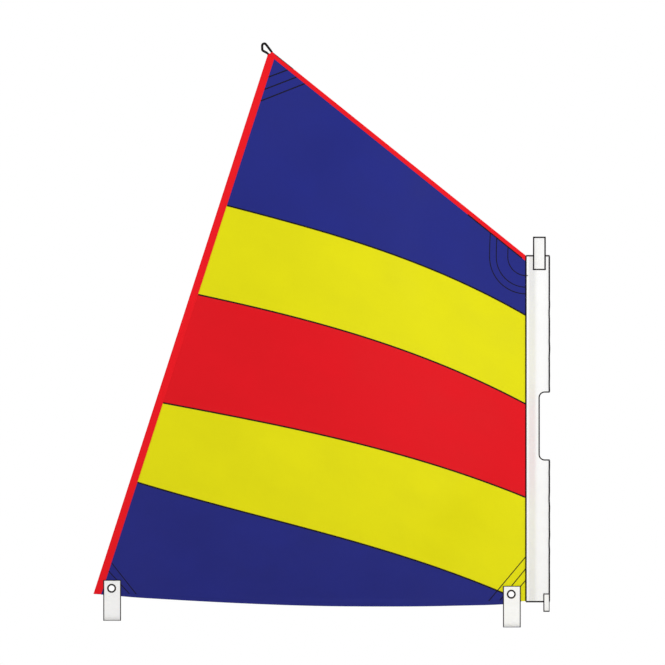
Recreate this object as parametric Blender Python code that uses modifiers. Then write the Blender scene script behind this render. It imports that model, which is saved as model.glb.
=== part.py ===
"""A sprit-rigged dinghy sail: five cloth bands, edge tapes, corner patches, a mast sleeve and webbing.

The sail stands in the XZ plane. +X points forward to the luff, +Z is up and the viewer is on the -Y side,
towards which the set sail bellies. The origin is on the mast's axis, at the sleeve's lower edge. All sizes
are in metres.
"""

import math
from dataclasses import dataclass

import bmesh
import bpy
import numpy as np
from mathutils import Vector

# Outline of the finished sail, from the mast's axis and the sleeve's lower edge
CLEW_AFT = 1.9990
CLEW_HEIGHT = 0.0315
PEAK_AFT = 1.2075
PEAK_HEIGHT = 2.4810
THROAT_HEIGHT = 1.5540
PEAK_CUT_LEECH = 0.0220
PEAK_CUT_HEAD = 0.0160

# Mast sleeve, wrapped round a mast with its aft edges sewn to both sides of the cloth
MAST_DIAMETER = 0.0500
MAST_CLEARANCE = 0.0010
SLEEVE_AFT = 0.0540
SLEEVE_FRONT = 0.0520
SLEEVE_BELOW_THROAT = 0.0015
SLEEVE_LENGTH = THROAT_HEIGHT - SLEEVE_BELOW_THROAT
SLEEVE_SEAM = 0.0120
WINDOW_BOTTOM = 0.6345
WINDOW_HEIGHT = 0.3060
WINDOW_DEPTH = 0.0470
WINDOW_CORNER = 0.0250

# Thicknesses, and the gap that pieces sewn on each other keep
CLOTH = 0.0012
SLEEVE_CLOTH = 0.0012
TAPE = 0.0010
PATCH = 0.0006
WEBBING = 0.0015
GAP = 0.0003

# Widths of tapes, laps and hem
LEECH_TAPE_WIDTH = 0.0320
HEAD_TAPE_WIDTH = 0.0170
LAP_WIDTH = 0.0130
HEM_WIDTH = 0.0120
TAPE_STEP_LENGTH = 0.0120

# Belly of the set sail, deepest a little ahead of the middle, and flat at the corners
BELLY_DEPTH = 0.0900
BELLY_PLACE = 0.40
BELLY_HEIGHT = 0.45
BELLY_AT_FOOT = 0.50
BELLY_AT_HEAD = 0.40
CORNER_EASE = 0.4500
FLAT_MARGIN = 0.0150
ENTRY_MARGIN = 0.0040

# Boom straps and their eyelets, from the corners of the sail
CLEW_EYELET_FORWARD = 0.0802
CLEW_EYELET_UP = 0.0257
TACK_EYELET_AFT = 0.0662
TACK_EYELET_UP = 0.0306
STRAP_WIDTH = 0.0760
STRAP_ASIDE = 0.0025
STRAP_ABOVE = 0.0365
CLEW_STRAP_BELOW = 0.1454
TACK_STRAP_BELOW = 0.1490
STRAP_STRAIGHT = 0.0450
BOOM_SPACE = 0.0460
EYELET_BORE = 0.0260
EYELET_WIDTH = 0.0404
EYELET_METAL = 0.0010
EYELET_LIP = 0.0032

# Webbing sewn over the sleeve's ends
HEAD_STRAP_AFT = -0.0225
HEAD_STRAP_FORE = 0.0350
HEAD_STRAP_LEG = 0.0620
HEAD_STRAP_RISE = 0.0865
DOWNHAUL_AFT = 0.0240
DOWNHAUL_FORE = 0.0515
DOWNHAUL_LEG = 0.0330
DOWNHAUL_DROP = 0.0480

# Peak rope loop: its centreline, along the cut end of the peak and out from it
ROPE_DIAMETER = 0.0090
ROPE_ROUTE = (
    (0.0082, 0.0048),
    (0.0078, 0.0160),
    (0.0070, 0.0330),
    (0.0048, 0.0470),
    (-0.0012, 0.0519),
    (-0.0085, 0.0530),
    (-0.0152, 0.0500),
    (-0.0212, 0.0410),
    (-0.0240, 0.0280),
    (-0.0190, 0.0150),
    (-0.0100, 0.0048),
)

# How finely the surfaces are divided
COLUMNS = 24
LEECH_ROWS = 26
TURN_STEPS = 32
THROAT_STEPS = 12


def leech_x(height):
    """Where the finished leech is at a height."""
    return CLEW.x + (height - CLEW.y) * LEECH_RUN


@dataclass(frozen=True)
class Edge:
    """A curved edge of a band of cloth, from the leech to the sleeve's aft edge.

    The two rounds lift the curve at its thirds, as the handles of a cubic curve do.
    """

    leech_height: float
    luff_height: float
    aft_round: float = 0.0
    fore_round: float = 0.0

    def along(self, x):
        """How far x is along the edge, 0 at the leech and 1 at the sleeve."""
        start = leech_x(self.leech_height)
        return min(1.0, max(0.0, (x - start) / (-SLEEVE_AFT - start)))

    def height(self, x):
        """The height of the edge at x, level past its ends."""
        t = self.along(x)
        straight = self.leech_height * (1 - t) + self.luff_height * t
        return straight + 3 * t * (1 - t) * ((1 - t) * self.aft_round + t * self.fore_round)

    def slope(self, x):
        step = 0.0005
        return (self.height(x + step) - self.height(x - step)) / (2 * step)


def band_edge(up_leech, up_luff, aft_round=0.0, fore_round=0.0):
    """An edge that starts and ends at shares of the leech and the luff, with rounds as shares of the luff."""
    return Edge(
        CLEW_HEIGHT + (PEAK_HEIGHT - CLEW_HEIGHT) * up_leech,
        THROAT_HEIGHT * up_luff,
        THROAT_HEIGHT * aft_round,
        THROAT_HEIGHT * fore_round,
    )


# Corners and directions of the outline, as (x, z)
CLEW = Vector((-CLEW_AFT, CLEW_HEIGHT))
PEAK = Vector((-PEAK_AFT, PEAK_HEIGHT))
THROAT = Vector((-SLEEVE_AFT, THROAT_HEIGHT))
TACK = Vector((-SLEEVE_AFT, 0.0))
LEECH_ALONG = (PEAK - CLEW).normalized()
LEECH_INWARD = Vector((LEECH_ALONG.y, -LEECH_ALONG.x))
LEECH_RUN = LEECH_ALONG.x / LEECH_ALONG.y
HEAD_ALONG = (THROAT - PEAK).normalized()
HEAD_INWARD = Vector((HEAD_ALONG.y, -HEAD_ALONG.x))
CUT_AFT = PEAK - LEECH_ALONG * PEAK_CUT_LEECH
CUT_FORE = PEAK + HEAD_ALONG * PEAK_CUT_HEAD
CUT_ALONG = (CUT_FORE - CUT_AFT).normalized()
CUT_OUTWARD = Vector((-CUT_ALONG.y, CUT_ALONG.x))
CUT_MIDDLE = (CUT_AFT + CUT_FORE) / 2

# Edges between the bands, from the foot up
FOOT = band_edge(0.0, 0.0, -0.0199, -0.0380)
FOOT_SEAM = band_edge(0.2095, -0.0051, 0.0001, 0.0550)
LOWER_SEAM = band_edge(0.3541, 0.3004, 0.0248, 0.0532)
UPPER_SEAM = band_edge(0.5532, 0.5706, 0.0380, 0.0650)
HEAD_SEAM = band_edge(0.7175, 0.8277, 0.0313, 0.0624)
HEAD = band_edge(1.0, 1.0)

# Patches, largest first: the reach of each along the two edges that meet at its corner, or its radius
PEAK_PATCHES = ((0.2322, 0.2190), (0.1777, 0.1717), (0.1195, 0.1200))
CLEW_PATCHES = ((0.1585, 0.1981), (0.1186, 0.1680))
TACK_PATCHES = ((0.2003, 0.1746), (0.1467, 0.1242), (0.0945, 0.0840))
THROAT_PATCHES = (0.1660, 0.1360, 0.0840)
THROAT_PATCH_FORWARD = 0.0022
THROAT_PATCH_BELOW = 0.0060
PATCH_NAMES = ("large", "middle", "small")
PATCH_ABOVE_FOOT = 0.0030

# Layers, as heights square to the middle of the cloth
FRONT_CLOTH = -(CLOTH + GAP) / 2
BACK_CLOTH = (CLOTH + GAP) / 2
CLOTH_FACE = CLOTH + GAP / 2
TAPE_LIFT = CLOTH_FACE + GAP + TAPE / 2
TAPE_OVER_TAPE_LIFT = TAPE_LIFT + TAPE + GAP
PATCH_PITCH = PATCH + GAP
BACK_FACE = CLOTH_FACE + max(GAP + TAPE, len(TACK_PATCHES) * PATCH_PITCH)
STRAP_FRONT_LIFT = CLOTH_FACE + GAP + TAPE + GAP + WEBBING / 2
STRAP_BACK_LIFT = BACK_FACE + GAP + WEBBING / 2

# Sleeve section, at the middle of its wall
WALL_RADIUS = MAST_DIAMETER / 2 + MAST_CLEARANCE + SLEEVE_CLOTH / 2
WALL_FRONT = SLEEVE_FRONT - SLEEVE_CLOTH / 2
SEAM_LIFT = CLOTH_FACE + GAP + SLEEVE_CLOTH / 2
ENTRY_X = -SLEEVE_AFT - ENTRY_MARGIN
LUFF_CLOTH_X = -SLEEVE_AFT + SLEEVE_SEAM

# Eyelet centres, and the hole that everything round a barrel has
CLEW_EYELET = CLEW + Vector((CLEW_EYELET_FORWARD, CLEW_EYELET_UP))
TACK_EYELET = TACK + Vector((-TACK_EYELET_AFT, TACK_EYELET_UP))
EYELET_HOLE_RADIUS = EYELET_BORE / 2 + EYELET_METAL + GAP


def clear_scene():
    for old in list(bpy.data.objects):
        bpy.data.objects.remove(old, do_unlink=True)


def new_collection(name):
    collection = bpy.data.collections.new(name)
    bpy.context.scene.collection.children.link(collection)
    return collection


def linear(channel):
    """One sRGB channel, 0 to 1, as the linear value that a shader takes."""
    return channel / 12.92 if channel <= 0.04045 else ((channel + 0.055) / 1.055) ** 2.4


def material(name, hex_colour, roughness, metallic=0.0):
    colour = [linear(int(hex_colour[i : i + 2], 16) / 255) for i in (0, 2, 4)] + [1.0]
    made = bpy.data.materials.new(name)
    made.use_nodes = True
    shader = made.node_tree.nodes["Principled BSDF"]
    shader.inputs["Base Color"].default_value = colour
    shader.inputs["Roughness"].default_value = roughness
    shader.inputs["Metallic"].default_value = metallic
    made.diffuse_color = colour
    return made


def smooth_step(value):
    """0 below 0 and 1 above 1, with a smooth rise between."""
    t = min(1.0, max(0.0, value))
    return t * t * t * (t * (6 * t - 15) + 10)


def patch_reach(patches):
    """How far the largest patch of a corner reaches."""
    return float(np.max(patches[0]))


CORNER_FLATS = (
    (CLEW, patch_reach(CLEW_PATCHES) + FLAT_MARGIN),
    (PEAK, patch_reach(PEAK_PATCHES) + FLAT_MARGIN),
    (THROAT, patch_reach(THROAT_PATCHES) + FLAT_MARGIN),
    (TACK, patch_reach(TACK_PATCHES) + FLAT_MARGIN),
)


def across_share(u):
    """Belly across the sail, from the luff (0) to the leech (1): a round entry and a flat exit."""
    exit_power = (1 - BELLY_PLACE) / BELLY_PLACE
    deepest = BELLY_PLACE * (1 - BELLY_PLACE) ** exit_power
    return u * (1 - u) ** exit_power / deepest


def up_share(v):
    """Belly up the sail, from the foot (0) to the head (1)."""
    if v < BELLY_HEIGHT:
        return 1 - (1 - BELLY_AT_FOOT) * ((BELLY_HEIGHT - v) / BELLY_HEIGHT) ** 2
    return 1 - (1 - BELLY_AT_HEAD) * ((v - BELLY_HEIGHT) / (1 - BELLY_HEIGHT)) ** 2


def belly(x, z):
    """The y of the middle of the cloth: negative towards the viewer."""
    place = Vector((x, z))
    from_luff = max(0.0, ENTRY_X - x)
    from_leech = max(0.0, (place - CLEW).dot(LEECH_INWARD))
    from_foot = max(0.0, z - CLEW.y * (TACK.x - x) / (TACK.x - CLEW.x))
    from_head = max(0.0, (place - PEAK).dot(HEAD_INWARD))
    u = from_luff / max(from_luff + from_leech, GAP)
    v = from_foot / max(from_foot + from_head, GAP)
    flatness = 1.0
    for corner, radius in CORNER_FLATS:
        flatness *= smooth_step(((place - corner).length - radius) / CORNER_EASE)
    return -BELLY_DEPTH * across_share(u) * up_share(v) * flatness


def on_sail(place, lift=0.0):
    """A point of the set sail, lifted square to the middle of the cloth, positive to the back."""
    x, z = place
    step = 0.0005
    slope_x = (belly(x + step, z) - belly(x - step, z)) / (2 * step)
    slope_z = (belly(x, z + step) - belly(x, z - step)) / (2 * step)
    return Vector((x, belly(x, z) + lift * math.sqrt(1 + slope_x**2 + slope_z**2), z))


def surface(name, columns, rows, place):
    """An open grid mesh of columns by rows, whose crossing (i, k) lies at place(i, k)."""
    shape = bmesh.new()
    bmesh.ops.create_grid(shape, x_segments=columns, y_segments=rows, size=0.5)
    for vertex in shape.verts:
        column = round((vertex.co.x + 0.5) * columns)
        row = round((vertex.co.y + 0.5) * rows)
        vertex.co = place(column, row)
    mesh = bpy.data.meshes.new(name)
    shape.to_mesh(mesh)
    shape.free()
    return mesh


def trim(mesh, point, outward):
    """Cut away what lies past a plane that stands square to the sail, given in (x, z)."""
    shape = bmesh.new()
    shape.from_mesh(mesh)
    bmesh.ops.bisect_plane(
        shape,
        geom=shape.verts[:] + shape.edges[:] + shape.faces[:],
        dist=0.000001,
        plane_co=(point[0], 0.0, point[1]),
        plane_no=(outward[0], 0.0, outward[1]),
        clear_outer=True,
    )
    shape.to_mesh(mesh)
    shape.free()


def link(name, mesh, finish, collection, location=(0.0, 0.0, 0.0)):
    """A new object that shows a mesh in a finish."""
    made = bpy.data.objects.new(name, mesh)
    made.location = location
    if finish is not None:
        mesh.materials.append(finish)
    collection.objects.link(made)
    return made


def thicken(piece, thickness):
    """Give an open surface its thickness, half to each side, and round shading."""
    solidify = piece.modifiers.new("thickness", "SOLIDIFY")
    solidify.thickness = thickness
    solidify.offset = 0.0
    solidify.use_even_offset = True
    piece.data.shade_smooth()
    piece.data.set_sharp_from_angle(angle=math.radians(40))


def cut(piece, cutter):
    """Cut a closed cutter out of a piece."""
    boolean = piece.modifiers.new("cut_" + cutter.name, "BOOLEAN")
    boolean.operation = "DIFFERENCE"
    boolean.solver = "EXACT"
    boolean.object = cutter


def flat_piece(name, outline, thickness, y, finish, collection):
    """A flat piece in the XZ plane from its outline of (x, z) points, with its middle at y."""
    curve = bpy.data.curves.new(name, "CURVE")
    curve.dimensions = "2D"
    curve.fill_mode = "BOTH"
    curve.extrude = thickness / 2
    spline = curve.splines.new("POLY")
    spline.points.add(len(outline) - 1)
    spline.use_cyclic_u = True
    for point, (x, z) in zip(spline.points, outline):
        point.co = (x, z, 0.0, 1.0)
    drawn = bpy.data.objects.new(name + "_outline", curve)
    bpy.context.scene.collection.objects.link(drawn)
    evaluated = drawn.evaluated_get(bpy.context.evaluated_depsgraph_get())
    mesh = bpy.data.meshes.new_from_object(evaluated)
    bpy.data.objects.remove(drawn)
    shape = bmesh.new()
    shape.from_mesh(mesh)
    bmesh.ops.remove_doubles(shape, verts=shape.verts[:], dist=0.00001)
    bmesh.ops.recalc_face_normals(shape, faces=shape.faces[:])
    shape.to_mesh(mesh)
    shape.free()
    mesh.materials.clear()
    made = link(name, mesh, finish, collection, (0.0, y, 0.0))
    made.rotation_euler.x = math.radians(90)
    return made


def as_cutter(piece):
    piece.hide_render = True
    piece.display_type = "WIRE"
    return piece


def from_leech(distance):
    """A station at a distance in from the leech, on whichever edge it is asked for."""

    def place(edge):
        x = leech_x(edge.leech_height)
        for _ in range(6):
            x = leech_x(edge.height(x)) + distance / LEECH_INWARD.x
        return x

    return place


def part_way(share):
    """A station at a share of the way from the leech tape to where the cloth leaves the luff."""

    def place(edge):
        aft = from_leech(LEECH_TAPE_WIDTH)(edge)
        return aft + (ENTRY_X - aft) * share

    return place


def at(x):
    """A station at the same x on every edge."""
    return lambda edge: x


def cloth_stations():
    """The columns that the bands share, from the leech to the cloth's border in the sleeve."""
    border = from_leech(TAPE_LIFT + TAPE / 2 + GAP)
    between = [part_way(k / COLUMNS) for k in range(COLUMNS + 1)]
    return [border] + between + [at(-SLEEVE_AFT), at(LUFF_CLOTH_X)]


def beside(edge, x, distance):
    """A point at a distance above an edge, moved from x along the fan of leech and luff."""
    run = LEECH_RUN * (1 - edge.along(x))
    slope = edge.slope(x)
    rise = distance * math.sqrt(1 + slope**2) / (1 - slope * run)
    return Vector((x + run * rise, edge.height(x) + rise))


def foot_tip():
    """Where the foot panel has tapered to a blunt end, three cloths high, near the tack."""
    low, high = -SLEEVE_AFT - STRAP_WIDTH * 2, -SLEEVE_AFT
    for _ in range(40):
        middle = (low + high) / 2
        if FOOT_SEAM.height(middle) - FOOT.height(middle) > 3 * CLOTH:
            low = middle
        else:
            high = middle
    return low


@dataclass(frozen=True)
class Border:
    """One border of a band: its edge, and how far above it the cloth ends and the next row lies."""

    edge: Edge
    end: float
    inner: float


def panel(name, low, high, rows, layer, stations, finish, collection):
    """One band of cloth between two borders, in rows and columns that its neighbours share."""

    def ends(i):
        low_x = stations[i](low.edge)
        high_x = stations[i](high.edge)
        bottom = beside(low.edge, low_x, low.end)
        top = beside(high.edge, high_x, high.end)
        off_foot = Vector((0.0, max(0.0, FOOT.height(bottom.x) - bottom.y)))
        room = (top - bottom - off_foot).y / 3
        low_inner = beside(low.edge, low_x, low.end + min(low.inner - low.end, room))
        high_inner = beside(high.edge, high_x, high.end - min(high.end - high.inner, room))
        return bottom + off_foot, low_inner + off_foot, high_inner, top

    spans = [ends(i) for i in range(len(stations))]

    def place(i, k):
        bottom, low_inner, high_inner, top = spans[i]
        if k == 0:
            return on_sail(bottom, layer)
        if k == rows + 2:
            return on_sail(top, layer)
        return on_sail(low_inner.lerp(high_inner, (k - 1) / rows), layer)

    made = link(name, surface(name, len(stations) - 1, rows + 2, place), finish, collection)
    thicken(made, CLOTH)
    return made


def build_panels(blue, yellow, red, collection):
    """The five bands. The blue and red ones lap over the yellow ones on the viewer's side."""
    stations = cloth_stations()
    tip = foot_tip()
    foot_stations = [s for s in stations if s(FOOT_SEAM) < tip - LAP_WIDTH] + [at(tip)]
    head_inset = TAPE_LIFT + TAPE / 2 + GAP
    front = {"layer": FRONT_CLOTH, "collection": collection}
    back = {"layer": BACK_CLOTH, "collection": collection}
    head = panel(
        "head_panel",
        Border(HEAD_SEAM, 0.0, LAP_WIDTH),
        Border(HEAD, -head_inset, -HEAD_TAPE_WIDTH),
        rows=7,
        stations=stations,
        finish=blue,
        **front,
    )
    trim(head.data, CUT_MIDDLE - CUT_OUTWARD * GAP, CUT_OUTWARD)
    panel(
        "upper_panel",
        Border(UPPER_SEAM, -LAP_WIDTH, 0.0),
        Border(HEAD_SEAM, LAP_WIDTH, 0.0),
        rows=5,
        stations=stations,
        finish=yellow,
        **back,
    )
    panel(
        "middle_panel",
        Border(LOWER_SEAM, 0.0, LAP_WIDTH),
        Border(UPPER_SEAM, 0.0, -LAP_WIDTH),
        rows=6,
        stations=stations,
        finish=red,
        **front,
    )
    lower = panel(
        "lower_panel",
        Border(FOOT_SEAM, -LAP_WIDTH, 0.0),
        Border(LOWER_SEAM, LAP_WIDTH, 0.0),
        rows=6,
        stations=stations,
        finish=yellow,
        **back,
    )
    foot = panel(
        "foot_panel",
        Border(FOOT, 0.0, HEM_WIDTH),
        Border(FOOT_SEAM, 0.0, -LAP_WIDTH),
        rows=6,
        stations=foot_stations,
        finish=blue,
        **front,
    )
    return lower, foot


def fold_section(width, lift):
    """A tape's section folded round an edge: pairs of distance in from the edge and lift."""
    centre = lift + TAPE / 2
    bend = [math.radians(angle) for angle in (-90, -54, -18, 18, 54, 90)]
    fold = [(centre - lift * math.cos(a), lift * math.sin(a)) for a in bend]
    return [(width, -lift)] + fold + [(width, lift)]


def build_leech_tape(finish, collection):
    """The red tape folded round the leech, cut level at the clew and along the head at the peak."""
    section = fold_section(LEECH_TAPE_WIDTH, TAPE_LIFT)
    length = (PEAK - CLEW).length

    def place(i, k):
        distance, lift = section[i]
        along = CLEW - LEECH_ALONG * HEM_WIDTH + LEECH_ALONG * (length + HEM_WIDTH) * k / LEECH_ROWS
        return on_sail(along + LEECH_INWARD * distance, lift)

    mesh = surface("leech_tape", len(section) - 1, LEECH_ROWS, place)
    trim(mesh, CLEW, (0.0, -1.0))
    trim(mesh, PEAK + HEAD_INWARD * (TAPE_OVER_TAPE_LIFT + TAPE / 2 + GAP), -HEAD_INWARD)
    trim(mesh, CUT_MIDDLE, CUT_OUTWARD)
    made = link("leech_tape", mesh, finish, collection)
    thicken(made, TAPE)
    return made


def build_head_tape(finish, collection):
    """The narrower tape folded round the head, which steps up over the leech tape at the peak."""
    over = LEECH_TAPE_WIDTH + 2 * GAP
    clear = over + TAPE_STEP_LENGTH
    beyond = [s for s in cloth_stations()[1:-2] if s(HEAD) > from_leech(clear)(HEAD) + LAP_WIDTH]
    stations = [from_leech(0.0), from_leech(over), from_leech(clear)] + beyond
    stations.append(at(-SLEEVE_AFT - GAP))
    lifts = [TAPE_OVER_TAPE_LIFT] * 2 + [TAPE_LIFT] * (len(stations) - 2)

    def place(i, k):
        distance, lift = fold_section(HEAD_TAPE_WIDTH, lifts[k])[i]
        return on_sail(beside(HEAD, stations[k](HEAD), -distance), lift)

    columns = len(fold_section(HEAD_TAPE_WIDTH, TAPE_LIFT)) - 1
    mesh = surface("head_tape", columns, len(stations) - 1, place)
    trim(mesh, CUT_MIDDLE, CUT_OUTWARD)
    made = link("head_tape", mesh, finish, collection)
    thicken(made, TAPE)
    return made


def sleeve_half():
    """One side of the sleeve's section from the seam to the nose: points and outward normals."""
    seam_end = Vector((LUFF_CLOTH_X, SEAM_LIFT))
    reach = math.atan2(seam_end.y, seam_end.x) - math.acos(WALL_RADIUS / seam_end.length)
    touch = Vector((math.cos(reach), math.sin(reach)))
    run = [
        (Vector((-SLEEVE_AFT, SEAM_LIFT)), Vector((0.0, 1.0))),
        (seam_end, touch),
    ]
    arc_steps, nose_steps = 6, 12
    for k in range(arc_steps):
        angle = reach + (math.pi / 2 - reach) * k / arc_steps
        normal = Vector((math.cos(angle), math.sin(angle)))
        run.append((normal * WALL_RADIUS, normal))
    for k in range(nose_steps + 1):
        angle = math.pi / 2 * (1 - k / nose_steps)
        point = Vector((WALL_FRONT * math.cos(angle), WALL_RADIUS * math.sin(angle)))
        normal = Vector((math.cos(angle) / WALL_FRONT, math.sin(angle) / WALL_RADIUS))
        run.append((point, normal.normalized()))
    return run


def sleeve_section():
    """The whole section, from the viewer's side round the nose to the back."""
    back = [point for point, _ in sleeve_half()]
    front = [Vector((point.x, -point.y)) for point in back]
    return front + back[-2::-1]


def window_outline():
    """The window in the sleeve's front edge, open to the front, with round inner corners."""
    aft = SLEEVE_FRONT - WINDOW_DEPTH
    past = SLEEVE_FRONT + WINDOW_CORNER
    top = WINDOW_BOTTOM + WINDOW_HEIGHT
    quarter = [math.radians(angle) for angle in range(0, 91, 15)]
    lower = [
        (
            aft + WINDOW_CORNER * (1 - math.sin(a)),
            WINDOW_BOTTOM + WINDOW_CORNER * (1 - math.cos(a)),
        )
        for a in quarter
    ]
    upper = [(x, WINDOW_BOTTOM + top - z) for x, z in reversed(lower)]
    return [(past, WINDOW_BOTTOM)] + lower + upper + [(past, top)]


def build_sleeve(finish, collection, cutters):
    section = sleeve_section()

    def place(i, k):
        x, y = section[i]
        return Vector((x, y, SLEEVE_LENGTH * k))

    mesh = surface("luff_sleeve", len(section) - 1, 1, place)
    made = link("luff_sleeve", mesh, finish, collection)
    thicken(made, SLEEVE_CLOTH)
    depth = 4 * WALL_RADIUS
    window = flat_piece("sleeve_window", window_outline(), depth, 0.0, None, cutters)
    cut(made, as_cutter(window))
    return made


def wall_run(aft, fore, lift, count):
    """Points evenly along the back side of the sleeve between two stations, at a lift off it."""
    lifted = np.array([point + normal * lift for point, normal in sleeve_half()[1:]])
    lengths = np.concatenate([[0.0], np.cumsum(np.linalg.norm(np.diff(lifted, axis=0), axis=1))])
    start, stop = np.interp((aft, fore), lifted[:, 0], lengths)
    wanted = np.linspace(start, stop, count + 1)
    return list(zip(np.interp(wanted, lengths, lifted[:, 0]), np.interp(wanted, lengths, lifted[:, 1])))


def build_sleeve_strap(name, aft, fore, edge, leg, reach, finish, collection):
    """A webbing band sewn down both sides of the sleeve that loops past one of its ends.

    The loop leaves the sleeve at the height edge. It reaches up where leg and reach are positive, and
    down where they are negative.
    """
    columns, arch_steps = 12, 18
    wall = wall_run(aft, fore, SLEEVE_CLOTH / 2 + GAP + WEBBING / 2, columns)
    crown = reach - math.copysign(WEBBING / 2, reach)

    def place(i, k):
        x, y = wall[i]
        if k == 0:
            return Vector((x, -y, edge - leg))
        if k == arch_steps + 2:
            return Vector((x, y, edge - leg))
        angle = math.pi * (k - 1) / arch_steps
        across = math.copysign(abs(math.cos(angle)) ** 0.8, math.cos(angle))
        return Vector((x, -y * across, edge + crown * math.sin(angle) ** 0.8))

    mesh = surface(name, columns, arch_steps + 2, place)
    made = link(name, mesh, finish, collection)
    thicken(made, WEBBING)
    return made


def strap_path(below):
    """The path of a boom strap round its loop, as (y, z) from the eyelet's centre."""
    half = BOOM_SPACE / 2 + WEBBING / 2
    centre = -below + WEBBING / 2 + half
    flare_steps, turn_steps = 8, 14
    sides = []
    for side, lift in ((-1, STRAP_FRONT_LIFT), (1, STRAP_BACK_LIFT)):
        flare = [
            (
                side * (lift + (half - lift) * smooth_step(k / flare_steps)),
                -STRAP_STRAIGHT + (centre + STRAP_STRAIGHT) * k / flare_steps,
            )
            for k in range(flare_steps + 1)
        ]
        sides.append([(side * lift, STRAP_ABOVE)] + flare)
    turn = [
        (-half * math.cos(math.pi * k / turn_steps), centre - half * math.sin(math.pi * k / turn_steps))
        for k in range(1, turn_steps)
    ]
    return sides[0] + turn + sides[1][::-1]


def build_boom_strap(name, eyelet, below, finish, collection, cutter):
    """A webbing loop for the boom, held at the top by its eyelet, on which it swings."""
    path = strap_path(below)
    columns = 4

    def place(i, k):
        y, z = path[k]
        return Vector((STRAP_ASIDE + STRAP_WIDTH * (i / columns - 0.5), y, z))

    mesh = surface(name, columns, len(path) - 1, place)
    pivot = bpy.data.objects.new(name + "_pivot", None)
    pivot.location = (eyelet.x, 0.0, eyelet.y)
    collection.objects.link(pivot)
    made = link(name, mesh, finish, collection)
    made.parent = pivot
    thicken(made, WEBBING)
    cut(made, cutter)
    return made


def turned(name, profile, eyelet, finish, collection):
    """A ring turned about the eyelet's axis, from a closed profile of (radius, height to the front)."""
    shape = bmesh.new()
    points = [shape.verts.new((radius, 0.0, height)) for radius, height in profile]
    for first, second in zip(points, points[1:] + points[:1]):
        shape.edges.new((first, second))
    mesh = bpy.data.meshes.new(name)
    shape.to_mesh(mesh)
    shape.free()
    made = link(name, mesh, finish, collection, (eyelet.x, 0.0, eyelet.y))
    made.rotation_euler.x = math.radians(90)
    screw = made.modifiers.new("turn", "SCREW")
    screw.steps = TURN_STEPS
    screw.render_steps = TURN_STEPS
    screw.use_merge_vertices = True
    screw.merge_threshold = 0.00001
    screw.use_smooth_shade = True
    return made


def build_eyelet(corner, eyelet, finish, collection):
    """A barrel with its front flange, rolled over behind the sail, and the washer it holds."""
    bore = EYELET_BORE / 2
    barrel = bore + EYELET_METAL
    rim = EYELET_WIDTH / 2
    seat = STRAP_FRONT_LIFT + WEBBING / 2 + GAP
    face = seat + EYELET_METAL
    washer_front = -(STRAP_BACK_LIFT + WEBBING / 2 + GAP)
    washer_back = washer_front - EYELET_METAL
    lip_front = washer_back - GAP
    lip_back = lip_front - EYELET_METAL
    lip = barrel + EYELET_LIP
    easing = EYELET_METAL * 0.6
    barrel_profile = [
        (bore, seat - EYELET_METAL),
        (bore + easing, seat + EYELET_METAL * 0.3),
        (barrel + easing, face),
        (rim - easing, face),
        (rim, face - easing / 2),
        (rim, seat),
        (barrel, seat),
        (barrel, lip_front),
        (lip, lip_front),
        (lip, lip_front - easing / 2),
        (lip - easing, lip_back),
        (barrel, lip_back),
        (bore, lip_back + EYELET_METAL),
    ]
    turned(corner + "_eyelet", barrel_profile, eyelet, finish, collection)
    hole = EYELET_HOLE_RADIUS
    washer_profile = [
        (hole, washer_front),
        (rim, washer_front),
        (rim, washer_back + easing / 2),
        (rim - easing, washer_back),
        (hole, washer_back),
    ]
    turned(corner + "_washer", washer_profile, eyelet, finish, collection)


def eyelet_cutter(corner, eyelet, cutters):
    """A rod along the eyelet's axis that cuts its hole in everything the barrel passes."""
    steps = TURN_STEPS
    circle = [2 * math.pi * (k + 0.5) / steps for k in range(steps)]
    outline = [
        (
            eyelet.x + EYELET_HOLE_RADIUS * math.cos(a),
            eyelet.y + EYELET_HOLE_RADIUS * math.sin(a),
        )
        for a in circle
    ]
    return as_cutter(flat_piece(corner + "_hole", outline, 0.1, 0.0, None, cutters))


def meet(point, along, other_point, other_along):
    """Where two lines cross, each given by a point and a direction."""
    across = Vector((-other_along.y, other_along.x))
    return point + along * ((other_point - point).dot(across) / along.dot(across))


def build_patches(corner, outlines, cloth_back, finish, collection, cutter=None):
    """The stack of patches of one corner on the sail's back, the largest next to the cloth."""
    names = PATCH_NAMES if len(outlines) == len(PATCH_NAMES) else (PATCH_NAMES[0], PATCH_NAMES[-1])
    for index, (size, outline) in enumerate(zip(names, outlines)):
        middle = cloth_back + GAP + PATCH / 2 + index * PATCH_PITCH
        made = flat_piece(f"{corner}_patch_{size}", outline, PATCH, middle, finish, collection)
        if cutter is not None:
            cut(made, cutter)


def foot_run(start, stop, steps):
    """Points from start to stop, in x, along the foot and a little above its edge."""
    xs = [start + (stop - start) * k / steps for k in range(steps + 1)]
    return [Vector((x, FOOT.height(x) + PATCH_ABOVE_FOOT)) for x in xs]


def on_circle(centre, radius, point, along):
    """Where a circle crosses the line through a point, on the far side along its direction."""
    foot = point + along * (centre - point).dot(along)
    half = math.sqrt(radius**2 - (foot - centre).length_squared)
    return foot + along * half


def peak_outlines():
    """Three-cornered patches between the two tapes at the peak."""
    leech_line = PEAK + LEECH_INWARD * (LEECH_TAPE_WIDTH + GAP)
    head_line = PEAK + HEAD_INWARD * (HEAD_TAPE_WIDTH + GAP)
    corner = meet(leech_line, LEECH_ALONG, head_line, HEAD_ALONG)
    return [
        [corner, leech_line - LEECH_ALONG * down, head_line + HEAD_ALONG * out]
        for down, out in PEAK_PATCHES
    ]


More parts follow.
